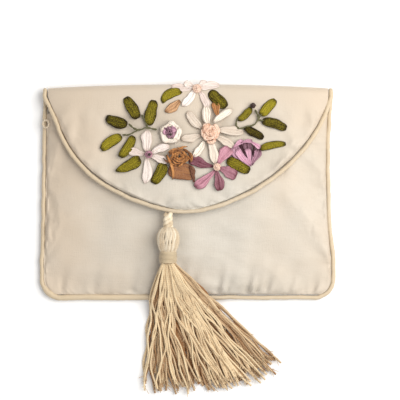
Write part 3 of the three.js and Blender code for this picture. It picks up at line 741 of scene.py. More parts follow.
def shell_fold():
    """The fold's inner and outer faces, turned from the back over to the flap."""
    start = fold_centre(PURSE_WIDTH / 2)
    row = grid_across(-side_at(LEFT, start, SEAM_INSET), side_at(RIGHT, start, SEAM_INSET), SHELL_COLUMNS)
    inner, outer = [], []
    for k in range(FOLD_STEPS + 1):
        turn = math.pi * k / FOLD_STEPS
        for rows, side in ((inner, -1), (outer, 1)):
            made = []
            for x in row:
                radius = fold_radius(x)
                out = Vector((math.sin(turn) / FOLD_ROUND, -math.cos(turn) / radius)).normalized() * CLOTH / 2
                y = fold_centre(x) + FOLD_ROUND * math.sin(turn) + side * out.x
                made.append((x, y, CLOTH / 2 + radius * (1 - math.cos(turn)) + side * out.y))
            rows.append(made)
    return inner, outer


def flap_places():
    """The flap's rows of places from the fold to its tip, and how far each place is from the flap's edge."""
    start = fold_centre(PURSE_WIDTH / 2)
    rows, edges = [], []
    for i in range(FLAP_ROWS + 1):
        share = (i / FLAP_ROWS) ** 0.85
        (left_x, left_y), (right_x, right_y) = flap_edge(LEFT, share), flap_edge(RIGHT, share)
        left_x, right_x = left_x - TUCK * (1 - share), right_x + TUCK * (1 - share)
        left_y, right_y = left_y - TUCK * share, right_y - TUCK * share
        row = []
        for u in grid_across(-1, 1, SHELL_COLUMNS):
            x = lerp(left_x, right_x, (u + 1) / 2)
            y = lerp(left_y, right_y, (u + 1) / 2) + (fold_centre(x) - start) * (1 - share)
            row.append((x, y, flap_low(x, y) + CLOTH))
        rows.append(row)
        edges.append([max(0, min(x - left_x, right_x - x, y - FLAP_TIP_Y - SEAM_INSET)) for x, y, z in row])
    return rows, edges


def shell_flap():
    """The flap's inner and outer faces, settled and puckered."""
    rows, edges = flap_places()

    def slack(i, j):
        return math.exp(-edges[i][j] / 6) + sewn_share(*rows[i][j][:2])

    relief = settled(rows, slack, most=0.9, seed=8.0)
    inner, outer = [], []
    for i in range(1, FLAP_ROWS + 1):
        from_fold = smooth(i / 8)
        under, over = [], []
        for j, (x, y, z) in enumerate(rows[i]):
            lift = (relief[i][j] + flap_relief(x, y, edges[i][j])) * from_fold
            under.append((x, y, z - CLOTH + lift * 0.6 * smooth(edges[i][j] / 2)))
            over.append((x, y, z + lift - rolled(edges[i][j]) * from_fold))
        inner.append(under)
        outer.append(over)
    return inner, outer


def make_shell():
    """The back, the fold and the flap, one cloth."""
    upper, lower = [], []
    for inside, outside in (shell_back(), shell_fold(), shell_flap()):
        upper += inside
        lower += outside
    return wall("back_and_flap_silk", upper, lower)


def make_body_piping():
    """The piping down one side, along the bottom and up the other side."""
    inset = PIPING / 2
    height = CLOTH + GAP / 2
    runs = []
    for hand in (LEFT, RIGHT):
        radius = hand["corner"] - inset
        corner_y = BOTTOM_Y + hand["corner"]
        top = fold_edge(PURSE_WIDTH / 2) - PIPING / 2
        ys = [lerp(top, corner_y + CORNER_EASE, k / 12) for k in range(13)]
        ys += [corner_y - radius * math.sin(math.radians(a)) for a in (10, 25, 40, 55, 70, 88)]
        runs.append([(hand["sign"] * side_at(hand, y, inset), y, height) for y in ys])
    shares = (-0.7, -0.45, -0.2, 0.05, 0.3, 0.5, 0.7)
    bottom = [(share * PURSE_WIDTH / 2, BOTTOM_Y + inset, height) for share in shares]
    path = through(runs[0] + bottom + runs[1][::-1], 14)
    return tubes("body_piping_cord", [sewn_by_hand(path)], PIPING / 2, sides=24, grow=drawn_up)


def drawn_up(place):
    """How the stitches draw a piping in and let it swell between them, most of all at the bottom left."""
    pulled = noise.noise(place * 0.9) * 0.12 + noise.noise(place * 0.28) * 0.1
    full = 0.42 * smooth((-38 - place.y) / 3) * smooth((4 - place.x) / 12)
    return 0.95 + pulled + full


def wandering(place):
    """A small shift each way at a place, the same in every run."""
    return Vector([noise.noise(place + Vector((0, 0, layer))) for layer in (3.7, 31.2, 63.9)])


def sewn_by_hand(path):
    """A piping's path with the small swerves that sewing leaves in it."""
    swerved = []
    for place in path:
        swerve = wandering(place * 0.16) * 0.28 + wandering(place * 0.5) * 0.1
        swerved.append(place + swerve * Vector((1, 1, 0.3)))
    return swerved


def flap_piping_path():
    """Places along the middle of the flap's piping, from left to right."""
    shares = [0, 0.05, 0.1, 0.16, 0.22, 0.3, 0.38, 0.46, 0.54, 0.62, 0.7, 0.78, 0.86, 0.93]
    left = [flap_edge(LEFT, share) for share in shares]
    right = [flap_edge(RIGHT, share) for share in reversed(shares)]
    edge = [*left, (0, FLAP_TIP_Y + SEAM_INSET), *right]
    out = GAP + PIPING / 2
    points = []
    for i, (x, y) in enumerate(edge):
        before, after = edge[max(0, i - 1)], edge[min(len(edge) - 1, i + 1)]
        along = Vector((after[0] - before[0], after[1] - before[1])).normalized()
        points.append((x + along.y * out, y - along.x * out, flap_low(x, y) + CLOTH / 2))
    return points


def make_flap_piping():
    """The flap's piping, with the turn round the fold that carries it on into the seams."""
    path = flap_piping_path()
    low = CLOTH + GAP / 2
    turned = []
    for end in (path[0], path[-1]):
        middle, radius = (low + end[2]) / 2, (end[2] - low) / 2
        reach = fold_edge(abs(end[0])) - PIPING / 2 - end[1] + 0.2
        bend = []
        for degrees in (0, 45, 90, 135):
            angle = math.radians(degrees)
            bend.append((end[0], end[1] + reach * math.sin(angle), middle + radius * math.cos(angle)))
        turned.append(bend)
    path = through([*turned[0][:0:-1], *path, *turned[1][1:]], 14)
    return tubes("flap_piping_cord", [sewn_by_hand(path)], PIPING / 2, sides=24, grow=drawn_up)


def ribbon_start(name, along, across):
    """A flat ribbon as a grid, from 0 to 1 along x and from -1 to 1 across y."""
    bpy.ops.object.select_all(action="DESELECT")
    bpy.ops.mesh.primitive_grid_add(x_subdivisions=along, y_subdivisions=across, size=1, location=(0, 0, 0))
    ribbon = bpy.context.object
    ribbon.name = name
    bpy.ops.object.mode_set(mode="EDIT")
    bpy.ops.mesh.select_mode(type="VERT")
    bpy.ops.mesh.select_all(action="SELECT")
    bpy.ops.transform.resize(value=(1, 2, 1))
    bpy.ops.transform.translate(value=(0.5, 0, 0))
    return ribbon


def shape(piece, picks, scale=None, shift=None, centre=(0, 0, 0)):
    """In edit mode, grows or shifts the corners that a test picks by their place."""
    bpy.ops.mesh.select_all(action="DESELECT")
    bpy.ops.object.mode_set(mode="OBJECT")
    for corner in piece.data.vertices:
        corner.select = picks(corner.co)
    bpy.ops.object.mode_set(mode="EDIT")
    if scale:
        bpy.ops.transform.resize(value=scale, center_override=centre)
    if shift:
        bpy.ops.transform.translate(value=shift)


def finish_ribbon(ribbon):
    """Rounds a ribbon's corners and gives it its thickness."""
    bpy.ops.object.mode_set(mode="OBJECT")
    only(ribbon)
    ribbon.data.uv_layers[0].name = "map"
    rounding = ribbon.modifiers.new("rounding", "SUBSURF")
    rounding.levels = rounding.render_levels = 2
    bpy.ops.object.modifier_apply(modifier="rounding")
    woven = ribbon.modifiers.new("woven", "SOLIDIFY")
    woven.thickness = RIBBON_THICKNESS
    woven.offset = 0
    bpy.ops.object.modifier_apply(modifier="woven")
    bpy.ops.object.shade_smooth()


def pleated_ribbon(name, outline, pleats):
    """A stitched ribbon: outline rows are (share along, half width, rise), pleats are heights across it.

    A row that is done is set aside, so that the test for the next row can't pick it too.
    """
    aside = 10
    along, across = len(outline) - 1, len(pleats) - 1
    ribbon = ribbon_start(name, along, across)
    for column, height in enumerate(pleats):
        y = 2 * column / across - 1
        shape(ribbon, lambda place: abs(place.y - y) < 0.01, shift=(0, 0, height))
    for row, (share, half, lift) in enumerate(outline):
        x = row / along
        shape(
            ribbon,
            lambda place: abs(place.x - x) < 0.001,
            scale=(1, half, lift),
            shift=(share - x + aside, 0, 0),
            centre=(x, 0, 0),
        )
    shape(ribbon, lambda place: True, shift=(-aside, 0, 0))
    finish_ribbon(ribbon)
    return ribbon


LEAF_OUTLINE = [
    (0.0, 0.34, 0.15),
    (0.03, 0.6, 0.6),
    (0.12, 0.84, 1.0),
    (0.26, 1.0, 1.05),
    (0.42, 1.04, 0.95),
    (0.58, 1.0, 1.0),
    (0.75, 0.95, 1.1),
    (0.88, 0.82, 1.0),
    (0.96, 0.6, 0.7),
    (1.0, 0.4, 0.15),
]
PETAL_OUTLINE = [
    (0.0, 0.3, 0.6),
    (0.06, 0.45, 0.9),
    (0.2, 0.68, 1.1),
    (0.38, 0.9, 1.0),
    (0.56, 1.0, 0.95),
    (0.74, 0.95, 1.0),
    (0.88, 0.7, 0.95),
    (0.96, 0.4, 0.6),
    (1.0, 0.14, 0.15),
]
FAN_OUTLINE = [
    (0.0, 0.14, 0.5),
    (0.12, 0.3, 0.9),
    (0.3, 0.52, 1.1),
    (0.5, 0.76, 1.0),
    (0.7, 0.97, 0.95),
    (0.84, 1.0, 0.9),
    (0.94, 0.8, 0.7),
    (1.0, 0.42, 0.2),
]
STRIP_OUTLINE = [
    (0.0, 0.5, 0.3),
    (0.15, 0.85, 0.9),
    (0.4, 1.0, 1.1),
    (0.65, 0.95, 1.0),
    (0.88, 0.8, 0.9),
    (1.0, 0.45, 0.3),
]
LEAF_PLEATS = [0.1, 0.8, 0.4, 0.95, 0.55, 1.0, 0.5, 0.95, 0.4, 0.75, 0.1]
PETAL_PLEATS = [0.2, 0.95, 0.45, 0.3, 0.75, 0.1, 0.6, 1.0, 0.5, 0.15]
FAN_PLEATS = [0.5, 1.0, 0.35, 0.7, 0.1, 0.55, 0.95, 0.3, 0.8, 0.3]
STRIP_PLEATS = [0.1, 1.0, 0.45, 0.9, 0.1]


def px(x, y):
    """A place on the purse, in millimetres, from its pixel in the photograph."""
    scale = PHOTO_SPAN / PHOTO_PIXELS
    return (x - PURSE_PIXEL[0]) * scale, (PURSE_PIXEL[1] - y) * scale


def laid_ribbon(
    master,
    name,
    start,
    end,
    width,
    rise,
    bow=0.0,
    tone=0.5,
    above=0.0,
    tilt=0.0,
    taper=1.0,
    crumple=0.12,
    ragged=0.3,
    painted_pleat_shading=0.42,
):
    """A copy of a ribbon with its own mesh, laid on the flap from one place to another.

    Its pleats are as high as rise, it bows to one side, lies above the silk and tilts along its length. Its
    tone is painted darker towards its ends and edges as shade, and darker in its folds and lighter on its
    pleats' crests as painted shade and painted highlight.
    """
    mesh = master.data.copy()
    mesh.name = name
    x0, y0 = start
    dx, dy = end[0] - start[0], end[1] - start[1]
    length = math.hypot(dx, dy)
    roll = 0.3 * noise.noise(Vector((x0 * 0.7, y0 * 0.7, 3)))
    shades = []
    for corner in mesh.vertices:
        s, t, h = corner.co
        bend = bow * 4 * s * (1 - s)
        uneven = 1 + ragged * noise.noise(Vector((s * 3 + x0, 4 if t > 0 else -4, y0)))
        half = t * uneven * lerp(taper, 2 - taper, s) * width / 2
        slip = 0.18 * noise.noise(Vector((s * 2.5 + y0, x0, 2)))
        x = x0 + dx * s - dy * bend - dy / length * (half + slip)
        y = y0 + dy * s + dx * bend + dx / length * (half + slip)
        wave = crumple * noise.noise(Vector((s * 6 + x0, t * 2.5, y0)))
        lift = above + tilt * (s - 0.5) + roll * t * min(1, above * 2 + 0.3) + (h + wave) * rise
        low = flap_top(x, min(y, FOLD_Y - 1)) + SILK_SKIN
        corner.co = (x * MM, y * MM, (low + max(0, lift)) * MM)
        # Painted shade towards the ribbon's ends and edges, and painted shade in its folds and painted
        # highlight on its pleats' crests, added to its tone
        ends = smooth(min(s, 1 - s) * 6)
        edges = smooth((1 - abs(t)) * 3.5)
        shades.append(tone * lerp(0.5, 1, ends) * lerp(0.55, 1, edges) + painted_pleat_shading * (h + wave - 0.62))
    offset = noise.noise(Vector((x0, y0, 7))) * 20
    for loop in mesh.uv_layers["map"].data:
        loop.uv = (loop.uv[0] + offset, loop.uv[1] + offset)
    mesh.attributes.new("tone", "FLOAT", "POINT").data.foreach_set("value", shades)
    return new_piece(name, mesh)


def rosette(master, name, centre, radii, count, seed, width, tones, above, rise=1.3, loose=0.16):
    """Short bowed ribbons wound round a middle, each turned further and lying higher than the last."""
    rng = random.Random(seed)
    parts = []
    for k in range(count):
        share = k / count
        out = lerp(0.9, 0.15, share**1.3) * rng.uniform(0.85, 1.1)
        angle = k * 2.4 + rng.uniform(-0.5, 0.5)
        span = lerp(0.9, 2.0, share) * rng.uniform(0.8, 1.2)
        ends = []
        for side in (-0.5, 0.5):
            a = angle + side * span
            far = out * rng.uniform(1 - loose, 1 + 0.7 * loose)
            ends.append((centre[0] + radii[0] * far * math.cos(a), centre[1] + radii[1] * far * math.sin(a)))
        bow = -math.tan(span / 4) / 2 * rng.uniform(0.7, 1.2)
        tone = rng.uniform(*tones)
        wide = width * rng.uniform(0.7, 1.2)
        lift = above + 0.9 * share + rng.uniform(0, 0.2)
        tilt = rng.uniform(-0.4, 0.4)
        parts.append(laid_ribbon(master, name, *ends, wide, rise, bow, tone, lift, tilt, crumple=0.4))
    return parts


def joined(name, parts):
    """Several pieces made one."""
    only(parts[0])
    for part in parts:
        part.select_set(True)
    bpy.ops.object.join()
    piece = bpy.context.object
    piece.name = piece.data.name = name
    return piece


# Leaves: their ends by pixel, width in millimetres, bow to one side, and tone from 0, dark, to 1, bright
LEAVES = [
    {"start": (138, 118), "end": (126, 98), "width": 4.6, "bow": 0.0, "tone": 0.20},
    {"start": (127, 125), "end": (107, 118), "width": 4.4, "bow": 0.04, "tone": 0.11},
    {"start": (121, 136), "end": (102, 149), "width": 4.2, "bow": -0.03, "tone": 0.49},
    {"start": (134, 137), "end": (121, 157), "width": 4.0, "bow": 0.04, "tone": 0.38},
    {"start": (140, 159), "end": (117, 171), "width": 4.3, "bow": 0.05, "tone": 0.38, "taper": 1.45},
    {"start": (165, 164), "end": (154, 183), "width": 4.6, "bow": 0.03, "tone": 0.30},
    {"start": (149, 125), "end": (154, 101), "width": 4.4, "bow": 0.0, "tone": 0.30},
    {"start": (162, 101), "end": (181, 91), "width": 3.8, "bow": 0.12, "tone": 0.47},
    {"start": (210, 92), "end": (226, 107), "width": 4.6, "bow": 0.0, "tone": 0.20},
    {"start": (251, 108), "end": (238, 120), "width": 2.9, "bow": 0.1, "tone": 0.33},
    {"start": (261, 115), "end": (275, 100), "width": 3.9, "bow": 0.0, "tone": 0.5},
    {"start": (263, 121), "end": (286, 128), "width": 4.1, "bow": 0.03, "tone": 0.18},
    {"start": (245, 128), "end": (263, 138), "width": 3.3, "bow": 0.0, "tone": 0.03},
    {"start": (260, 149), "end": (285, 144), "width": 3.0, "bow": 0.05, "tone": 0.36},
    {"start": (228, 160), "end": (249, 171), "width": 4.6, "bow": 0.0, "tone": 0.30},
]

# Petals: from the flower's middle outwards, by pixel; width in millimetres; tone, past 1 for a painted
# highlight where it shines
FLOWERS = {
    "white_flower": [
        {"start": (201, 128), "end": (188, 112), "width": 4.0, "tone": 0.38},
        {"start": (208, 125), "end": (206, 106), "width": 3.9, "tone": 0.8},
        {"start": (214, 122), "end": (232, 110), "width": 3.0, "tone": 1.15},
        {"start": (218, 130), "end": (243, 133), "width": 3.6, "tone": 0.36},
        {"start": (217, 137), "end": (234, 147), "width": 3.4, "tone": 0.34},
        {"start": (210, 141), "end": (215, 163), "width": 3.8, "tone": 0.6},
        {"start": (204, 142), "end": (194, 157), "width": 3.1, "tone": 1.1},
        {"start": (200, 136), "end": (182, 139), "width": 3.4, "tone": 0.4},
    ],
    "pale_flower": [
        {"start": (147, 151), "end": (148, 131), "width": 4.4, "tone": 0.55},
        {"start": (144, 154), "end": (127, 150), "width": 3.4, "tone": 0.36},
        {"start": (152, 153), "end": (169, 146), "width": 3.4, "tone": 0.75},
        {"start": (152, 156), "end": (167, 163), "width": 3.2, "tone": 0.55},
        {"start": (147, 159), "end": (146, 183), "width": 3.9, "tone": 0.62},
    ],
    "lavender_flower": [
        {"start": (213, 167), "end": (190, 158), "width": 4.6, "tone": 0.22},
        {"start": (215, 170), "end": (196, 187), "width": 4.2, "tone": 0.85},
        {"start": (216, 170), "end": (220, 190), "width": 4.2, "tone": 0.3},
        {"start": (219, 168), "end": (236, 176), "width": 5.4, "tone": 0.5},
        {"start": (218, 165), "end": (230, 148), "width": 5.2, "tone": 0.9},
    ],
    "top_flower": [
        {"start": (195, 90), "end": (183, 106), "width": 3.5, "tone": 1.15},
        {"start": (200, 92), "end": (208, 108), "width": 3.0, "tone": 0.4},
        {"start": (199, 88), "end": (219, 85), "width": 3.4, "tone": 0.6},
        {"start": (193, 88), "end": (172, 86), "width": 3.4, "tone": 0.42},
        {"start": (195, 87), "end": (184, 83), "width": 3.2, "tone": 0.7},
        {"start": (199, 87), "end": (207, 82), "width": 3.2, "tone": 0.6},
    ],
}

# The mauve bud's folds, from its foot upwards, by pixel; above is how high each lies, in millimetres; tones
# past 1 are painted highlights, and the two dark narrow rows are strips of painted shade for the slits
BUD_FOLDS = [
    {"start": (249, 165), "end": (233, 147), "width": 4.6, "tone": 0.7, "above": 0.1},
    {"start": (252, 165), "end": (259, 150), "width": 4.0, "tone": 0.45, "above": 0.1},
    {"start": (250, 164), "end": (246, 142), "width": 5.6, "tone": 0.25, "above": 0.2},
    {"start": (250, 166), "end": (237, 150), "width": 3.0, "tone": 1.25, "above": 0.9},
    {"start": (251, 166), "end": (247, 149), "width": 2.8, "tone": 1.0, "above": 1.1},
    {"start": (252, 165), "end": (257, 150), "width": 2.0, "tone": 0.7, "above": 0.9},
    # Strips of painted shade for the slits between the folds
    {"start": (248, 159), "end": (241, 145), "width": 1.4, "tone": -0.3, "above": 1.3},
    {"start": (253.5, 157), "end": (254, 146), "width": 0.9, "tone": -0.3, "above": 1.3},
    {"start": (233, 148), "end": (243, 141), "width": 2.2, "tone": 1.25, "above": 0.5},
    {"start": (241, 143), "end": (252, 141), "width": 1.8, "tone": 0.9, "above": 0.7},
    {"start": (250, 142), "end": (260, 148), "width": 2.0, "tone": 1.2, "above": 0.5},
]


def make_leaves(leaf, finish):
    """The green leaves, one stitch of ribbon each."""
    for index, row in enumerate(LEAVES, 1):
        name = f"leaf_{index:02d}"
        ends = (px(*row["start"]), px(*row["end"]))
        looks = {"bow": row["bow"], "tone": row["tone"], "taper": row.get("taper", 1.0), "ragged": 0.16}
        piece = laid_ribbon(leaf, name + "_ribbon", *ends, row["width"], 0.85, **looks)
        dress(piece, finish, "leaf_ribbon", name)


def make_flower(name, petal, finish, slot, painted_pleat_shading=0.42):
    """One flower's petals, the bright ones fuller than the rest."""
    looks = {"bow": 0.04, "tilt": 0.2, "crumple": 0.3, "ragged": 0.28, "painted_pleat_shading": painted_pleat_shading}
    parts = []
    for index, row in enumerate(FLOWERS[name]):
        place = (px(*row["start"]), px(*row["end"]))
        looks |= {"above": 0.1 * (index % 3), "tone": row["tone"]}
        rise = 0.42 if row["tone"] < 0.7 else 0.85
        parts.append(laid_ribbon(petal, name, *place, row["width"], rise, **looks))
    return dress(joined(name + "_petals", parts), finish, slot, name)


def knot_paths(centre, radius, above, turns, seed, wraps):
    """Thread wound into a knot: loops that lean over each other."""
    rng = random.Random(seed)
    paths = []
    for k in range(wraps):
        lean = math.pi * k / wraps + rng.uniform(-0.2, 0.2)
        points = []
        for step in range(turns * 12 + 1):
            angle = 2 * math.pi * step / 12
            out = radius * (0.72 - 0.62 * step / (turns * 12))
            a, b = out * math.cos(angle), out * math.sin(angle) * 0.8
            x = centre[0] + a * math.cos(lean) - b * math.sin(lean)
            y = centre[1] + a * math.sin(lean) + b * math.cos(lean)
            low = flap_top(x, min(y, FOLD_Y - 1)) + above
            points.append(Vector((x, y, low + 0.35 + 0.5 * step / (turns * 12) + 0.25 * math.sin(angle + k))))
        paths.append(points)
    return paths


def make_single_stitches(petal, fan, tan, brown):
    """The tan and the brown ribbon that lie on their own near the fold."""
    piece = laid_ribbon(petal, "tan_ribbon_stitch", px(180, 101), px(166, 112), 3.6, 0.9, bow=0.05, tone=0.6)
    dress(piece, tan, "peach_ribbon", "tan_ribbon")
    piece = laid_ribbon(fan, "brown_ribbon_stitch", px(218, 117), px(215, 102), 3.4, 0.8, tone=0.6)
    dress(piece, brown, "brown_ribbon", "brown_ribbon")


def make_frill(strip, finish):
    """The peach frill in the white flower's middle."""
    looks = {"count": 26, "seed": 4, "width": 1.7, "tones": (0.35, 1.1), "above": 0.5}
    parts = rosette(strip, "frill", px(210, 133), (4.2, 4.7), **looks)
    dress(joined("white_flower_frill", parts), finish, "peach_ribbon", "white_flower_centre")


def make_rose(leaf, strip, finish):
    """The brown rose: one broad petal below, a bright strip and a dark strip along its edges as painted light
    and painted shade, and crinkled strips wound above, the brightest with painted highlights.
    """
    broad = {"bow": 0.02, "tone": 0.3, "above": 0.2, "tilt": 0.1}
    broad |= {"crumple": 0.1, "ragged": 0.06, "painted_pleat_shading": 0.12}
    # The bright strip is painted light and the dark strip painted shade, along the broad petal's two edges
    bright = {"bow": -0.1, "tone": 0.95, "above": 0.6, "tilt": 0.3}
    dark = {"bow": -0.04, "tone": 0.05, "above": 0.5, "tilt": 0.2}
    parts = [
        laid_ribbon(leaf, "rose", px(169.5, 170), px(194.5, 174), 6.8, 0.3, **broad),
        laid_ribbon(strip, "rose", px(173, 179), px(167, 156), 1.3, 1.0, **bright),
        laid_ribbon(strip, "rose", px(194, 182), px(190, 166), 1.5, 0.9, **dark),
    ]
    # Tones past 1 give some wound strips painted highlights
    wound = {"count": 60, "seed": 9, "width": 0.85, "tones": (0.15, 1.5)}
    wound |= {"above": 0.6, "rise": 1.1, "loose": 0.45}
    parts += rosette(strip, "rose", px(179.5, 156.5), (5.4, 4.3), **wound)
    dress(joined("brown_rose_folds", parts), finish, "brown_ribbon", "brown_rose")


def make_pink_bud(strip, white, mauve):
    """The pink bud: five white petals that lean over each other round a mauve heart."""
    at = px(171, 133)
    parts = []
    for k, (wide, tone) in enumerate(((2.7, 1.1), (2.2, 0.7), (2.9, 1.0), (2.3, 0.85), (2.8, 1.15))):
        ends = []
        for turn in (0.0, 1.75):
            angle = k * math.pi * 0.4 + turn
            ends.append((at[0] + 4.1 * math.cos(angle), at[1] + 4.6 * math.sin(angle)))
        looks = {"bow": -0.05, "tone": tone, "above": 0.2, "tilt": 1.1, "crumple": 0.4}
        parts.append(laid_ribbon(strip, "bud", *ends, wide, 1.2, **looks))
    dress(joined("pink_bud_petals", parts), white, "peach_ribbon", "pink_bud")
    middle = (at[0] - 0.2, at[1] + 0.4)
    wound = {"count": 17, "seed": 12, "width": 1.7, "tones": (0.2, 1.4)}
    wound |= {"above": 0.4, "rise": 1.1, "loose": 0.5}
    parts = rosette(strip, "heart", middle, (3.5, 3.3), **wound)
    dress(joined("pink_bud_heart", parts), mauve, "mauve_ribbon")


def make_mauve_bud(fan, finish):
    """The mauve bud: folds that fan out from its foot, with dark strips of painted shade laid over them for
    the slits between them, and painted highlights on its brightest folds.
    """
    parts = []
    for row in BUD_FOLDS:
        place = (px(*row["start"]), px(*row["end"]))
        looks = {"bow": 0.04, "tone": row["tone"], "above": row["above"], "painted_pleat_shading": 0.28}
        parts.append(laid_ribbon(fan, "mauve", *place, row["width"], 0.9, **looks))
    dress(joined("mauve_bud_folds", parts), finish, "mauve_ribbon", "mauve_bud")


def make_spray():
    """The ribbon flowers on the flap."""
    leaf = pleated_ribbon("leaf_master", LEAF_OUTLINE, LEAF_PLEATS)
    petal = pleated_ribbon("petal_master", PETAL_OUTLINE, PETAL_PLEATS)
    fan = pleated_ribbon("fan_master", FAN_OUTLINE, FAN_PLEATS)
    strip = pleated_ribbon("strip_master", STRIP_OUTLINE, STRIP_PLEATS)
    green = ribbon_finish("leaf_ribbon", rgb(184, 168, 46), rgb(34, 23, 4), speckle=1.2, gloss=0.06)
    white = ribbon_finish("white_ribbon", rgb(240, 229, 214), rgb(194, 176, 158))
    blush = ribbon_finish("blush_ribbon", rgb(242, 232, 224), rgb(206, 184, 172))
    peach = ribbon_finish("peach_ribbon", rgb(244, 214, 192), rgb(212, 160, 128))
    tan = ribbon_finish("tan_ribbon", rgb(228, 182, 136), rgb(120, 74, 38), speckle=1.0)
    mauve = ribbon_finish("mauve_ribbon", rgb(212, 162, 182), rgb(66, 20, 34), speckle=0.5)
    lavender = ribbon_finish("lavender_ribbon", rgb(198, 142, 156), rgb(92, 32, 46), speckle=0.6)
    brown = ribbon_finish("brown_ribbon", rgb(208, 144, 80), rgb(90, 42, 12), speckle=0.4, gloss=0.5)
    make_leaves(leaf, green)
    make_flower("white_flower", petal, white, "white_ribbon", painted_pleat_shading=0.3)
    make_flower("pale_flower", petal, blush, "white_ribbon", painted_pleat_shading=0.3)
    make_flower("lavender_flower", fan, lavender, "lavender_ribbon")
    make_flower("top_flower", petal, blush, "peach_ribbon", painted_pleat_shading=0.3)
    make_single_stitches(petal, fan, tan, brown)
    make_frill(strip, peach)
    make_rose(leaf, strip, brown)
    make_pink_bud(strip, white, mauve)
    make_mauve_bud(fan, mauve)
    make_knots()
    make_stems()
    for master in (leaf, petal, fan, strip):
        bpy.data.objects.remove(master)


def make_knots():
    """The wound middles of the flowers, and the dark knots."""
    mauve = thread_finish("mauve_thread", rgb(214, 160, 176), rgb(120, 66, 84))
    peach = thread_finish("peach_thread", rgb(246, 222, 204), rgb(206, 160, 132))
    dark = thread_finish("dark_thread", rgb(70, 40, 30), rgb(40, 22, 18))
    paths = knot_paths(px(149, 155), radius=2.1, above=0.9, turns=2, seed=5, wraps=6)
    dress(tubes("pale_flower_winding", paths, 0.3), mauve, "mauve_ribbon", "pale_flower_knot")
    paths = knot_paths(px(217, 167.5), radius=2.1, above=1.0, turns=2, seed=6, wraps=5)
    dress(tubes("lavender_flower_winding", paths, 0.36), peach, "peach_ribbon", "lavender_flower_knot")
    paths = knot_paths(px(197, 89), radius=2.5, above=0.9, turns=2, seed=7, wraps=6)
    dress(tubes("top_flower_winding", paths, 0.38), peach, "peach_ribbon", "top_flower_centre")
    paths = knot_paths(px(253, 106), radius=1.5, above=0.5, turns=2, seed=8, wraps=4)
    paths += knot_paths(px(150, 155), radius=0.7, above=2.2, turns=1, seed=9, wraps=2)
    paths += knot_paths(px(171, 135), radius=0.6, above=2.4, turns=1, seed=10, wraps=2)
    dress(tubes("dark_knots", paths, 0.3), dark, "brown_ribbon")


# The green threads that join the leaves, by pixel
STEMS = [
    [(129, 124), (135, 129), (141, 130), (147, 128), (157, 130)],
    [(142, 115), (145, 121), (148, 128)],
    [(123, 135), (129, 135), (135, 132), (139, 130)],
    [(238, 118), (236, 124), (239, 129), (246, 127), (254, 125), (258, 120), (261, 115)],
    [(258, 120), (263, 121)],
    [(255, 110), (258, 116), (258, 121)],
]


def make_stems():
    """The green stem threads, each of two strands that turn round each other."""
    green = thread_finish("stem_thread", rgb(120, 116, 72), rgb(58, 54, 30))
    paths = []
    for stem in STEMS:
        run = through([(*px(*place), 0) for place in stem], 5)
        for side in (-0.18, 0.18):
            path = []
            for i, p in enumerate(run):
                turn = side * math.sin(i * 0.9)
                height = flap_top(p.x, p.y) + 0.32 + side * math.cos(i * 0.9)
                path.append(Vector((p.x + turn, p.y + turn, height)))
            paths.append(path)
    dress(tubes("stem_stitches", paths, STEM_THREAD / 2), green, "leaf_ribbon")


def skirt_strand(rng, place, length, layer):
    """One thread of the skirt: out of the binding, over the front and down past the purse's edge."""
    start = Vector((TASSEL_X + (place - 0.5) * NECK_WIDTH * 0.85, SKIRT_Y + 1.2, 0))
    across = place + rng.gauss(0, 0.12)
    bend = Vector((
        TASSEL_X + lerp(-FAN_LEFT, FAN_RIGHT * 0.28, across) + rng.uniform(-1.6, 1.6),
        SKIRT_Y - SKIRT_LENGTH * lerp(0.42, 0.21, place),
        0,
    ))
    reach = abs(place + rng.gauss(0, 0.08))
    end = Vector((
        TASSEL_X + lerp(-FAN_LEFT, FAN_RIGHT, 1.01 - abs(1.01 - reach)) + rng.uniform(-1.5, 1.5),
        SKIRT_Y - SKIRT_LENGTH + FAN_RISE * place**5 + rng.uniform(-0.8, 0.8),
        0,
    ))
    steps = 22
    drift = rng.uniform(0, 50)
    curl = rng.uniform(0.3, 1.0)
    crown = math.sqrt(max(0, 1 - (2 * place - 1) ** 2))
    path = []
    for k in range(steps + 1):
        s = k / steps * length
        at = start * (1 - s) ** 2 + bend * 2 * s * (1 - s) + end * s * s
        wave = smooth(s * 2)
        at.x += wave * (2.6 * noise.noise(Vector((s * 3.6, drift, 0))) + curl * math.sin(s * 10 + drift))
        at.x += wave * 0.4 * math.sin(s * (22 + 6 * curl) + 3 * drift)
        at.y += wave * 0.6 * noise.noise(Vector((s * 3.5, drift, 5)))
        held = max(0, 1 - s * 2.2) ** 2
        pile = 0.35 + layer * lerp(2.6, 1.9, s) + 0.5 * noise.noise(Vector((s * 4, drift, 9)))
        low = rest_height(at.x, at.y) + GAP + max(0, pile)
        at.z = lerp(low, NECK_Z + (layer - 0.5) * NECK_THICKNESS * 0.8 * lerp(0.6, 1, crown), held)
        path.append(at)
    return path


def stray_hairs(rng, strands):
    """The fine hairs that stand off the threads, most of them at their frayed ends."""
    hairs = []
    for strand in strands:
        for k in range(HAIRS_PER_STRAND):
            root = len(strand) - 2 if k < 4 else rng.randrange(8, len(strand) - 2)
            along = (strand[root + 1] - strand[root - 1]).normalized()
            off = Vector((rng.gauss(0, 1), rng.gauss(0, 1), abs(rng.gauss(0, 1)))) * (0.28 if k < 4 else 0.5)
            reach = rng.uniform(1.2, 3.4)
            start = strand[root]
            hair = [start + (along + off * t) * reach * t + Vector((0, 0, 0.2 * t)) for t in (0, 0.5, 1)]
            hairs.append(hair)
    return hairs


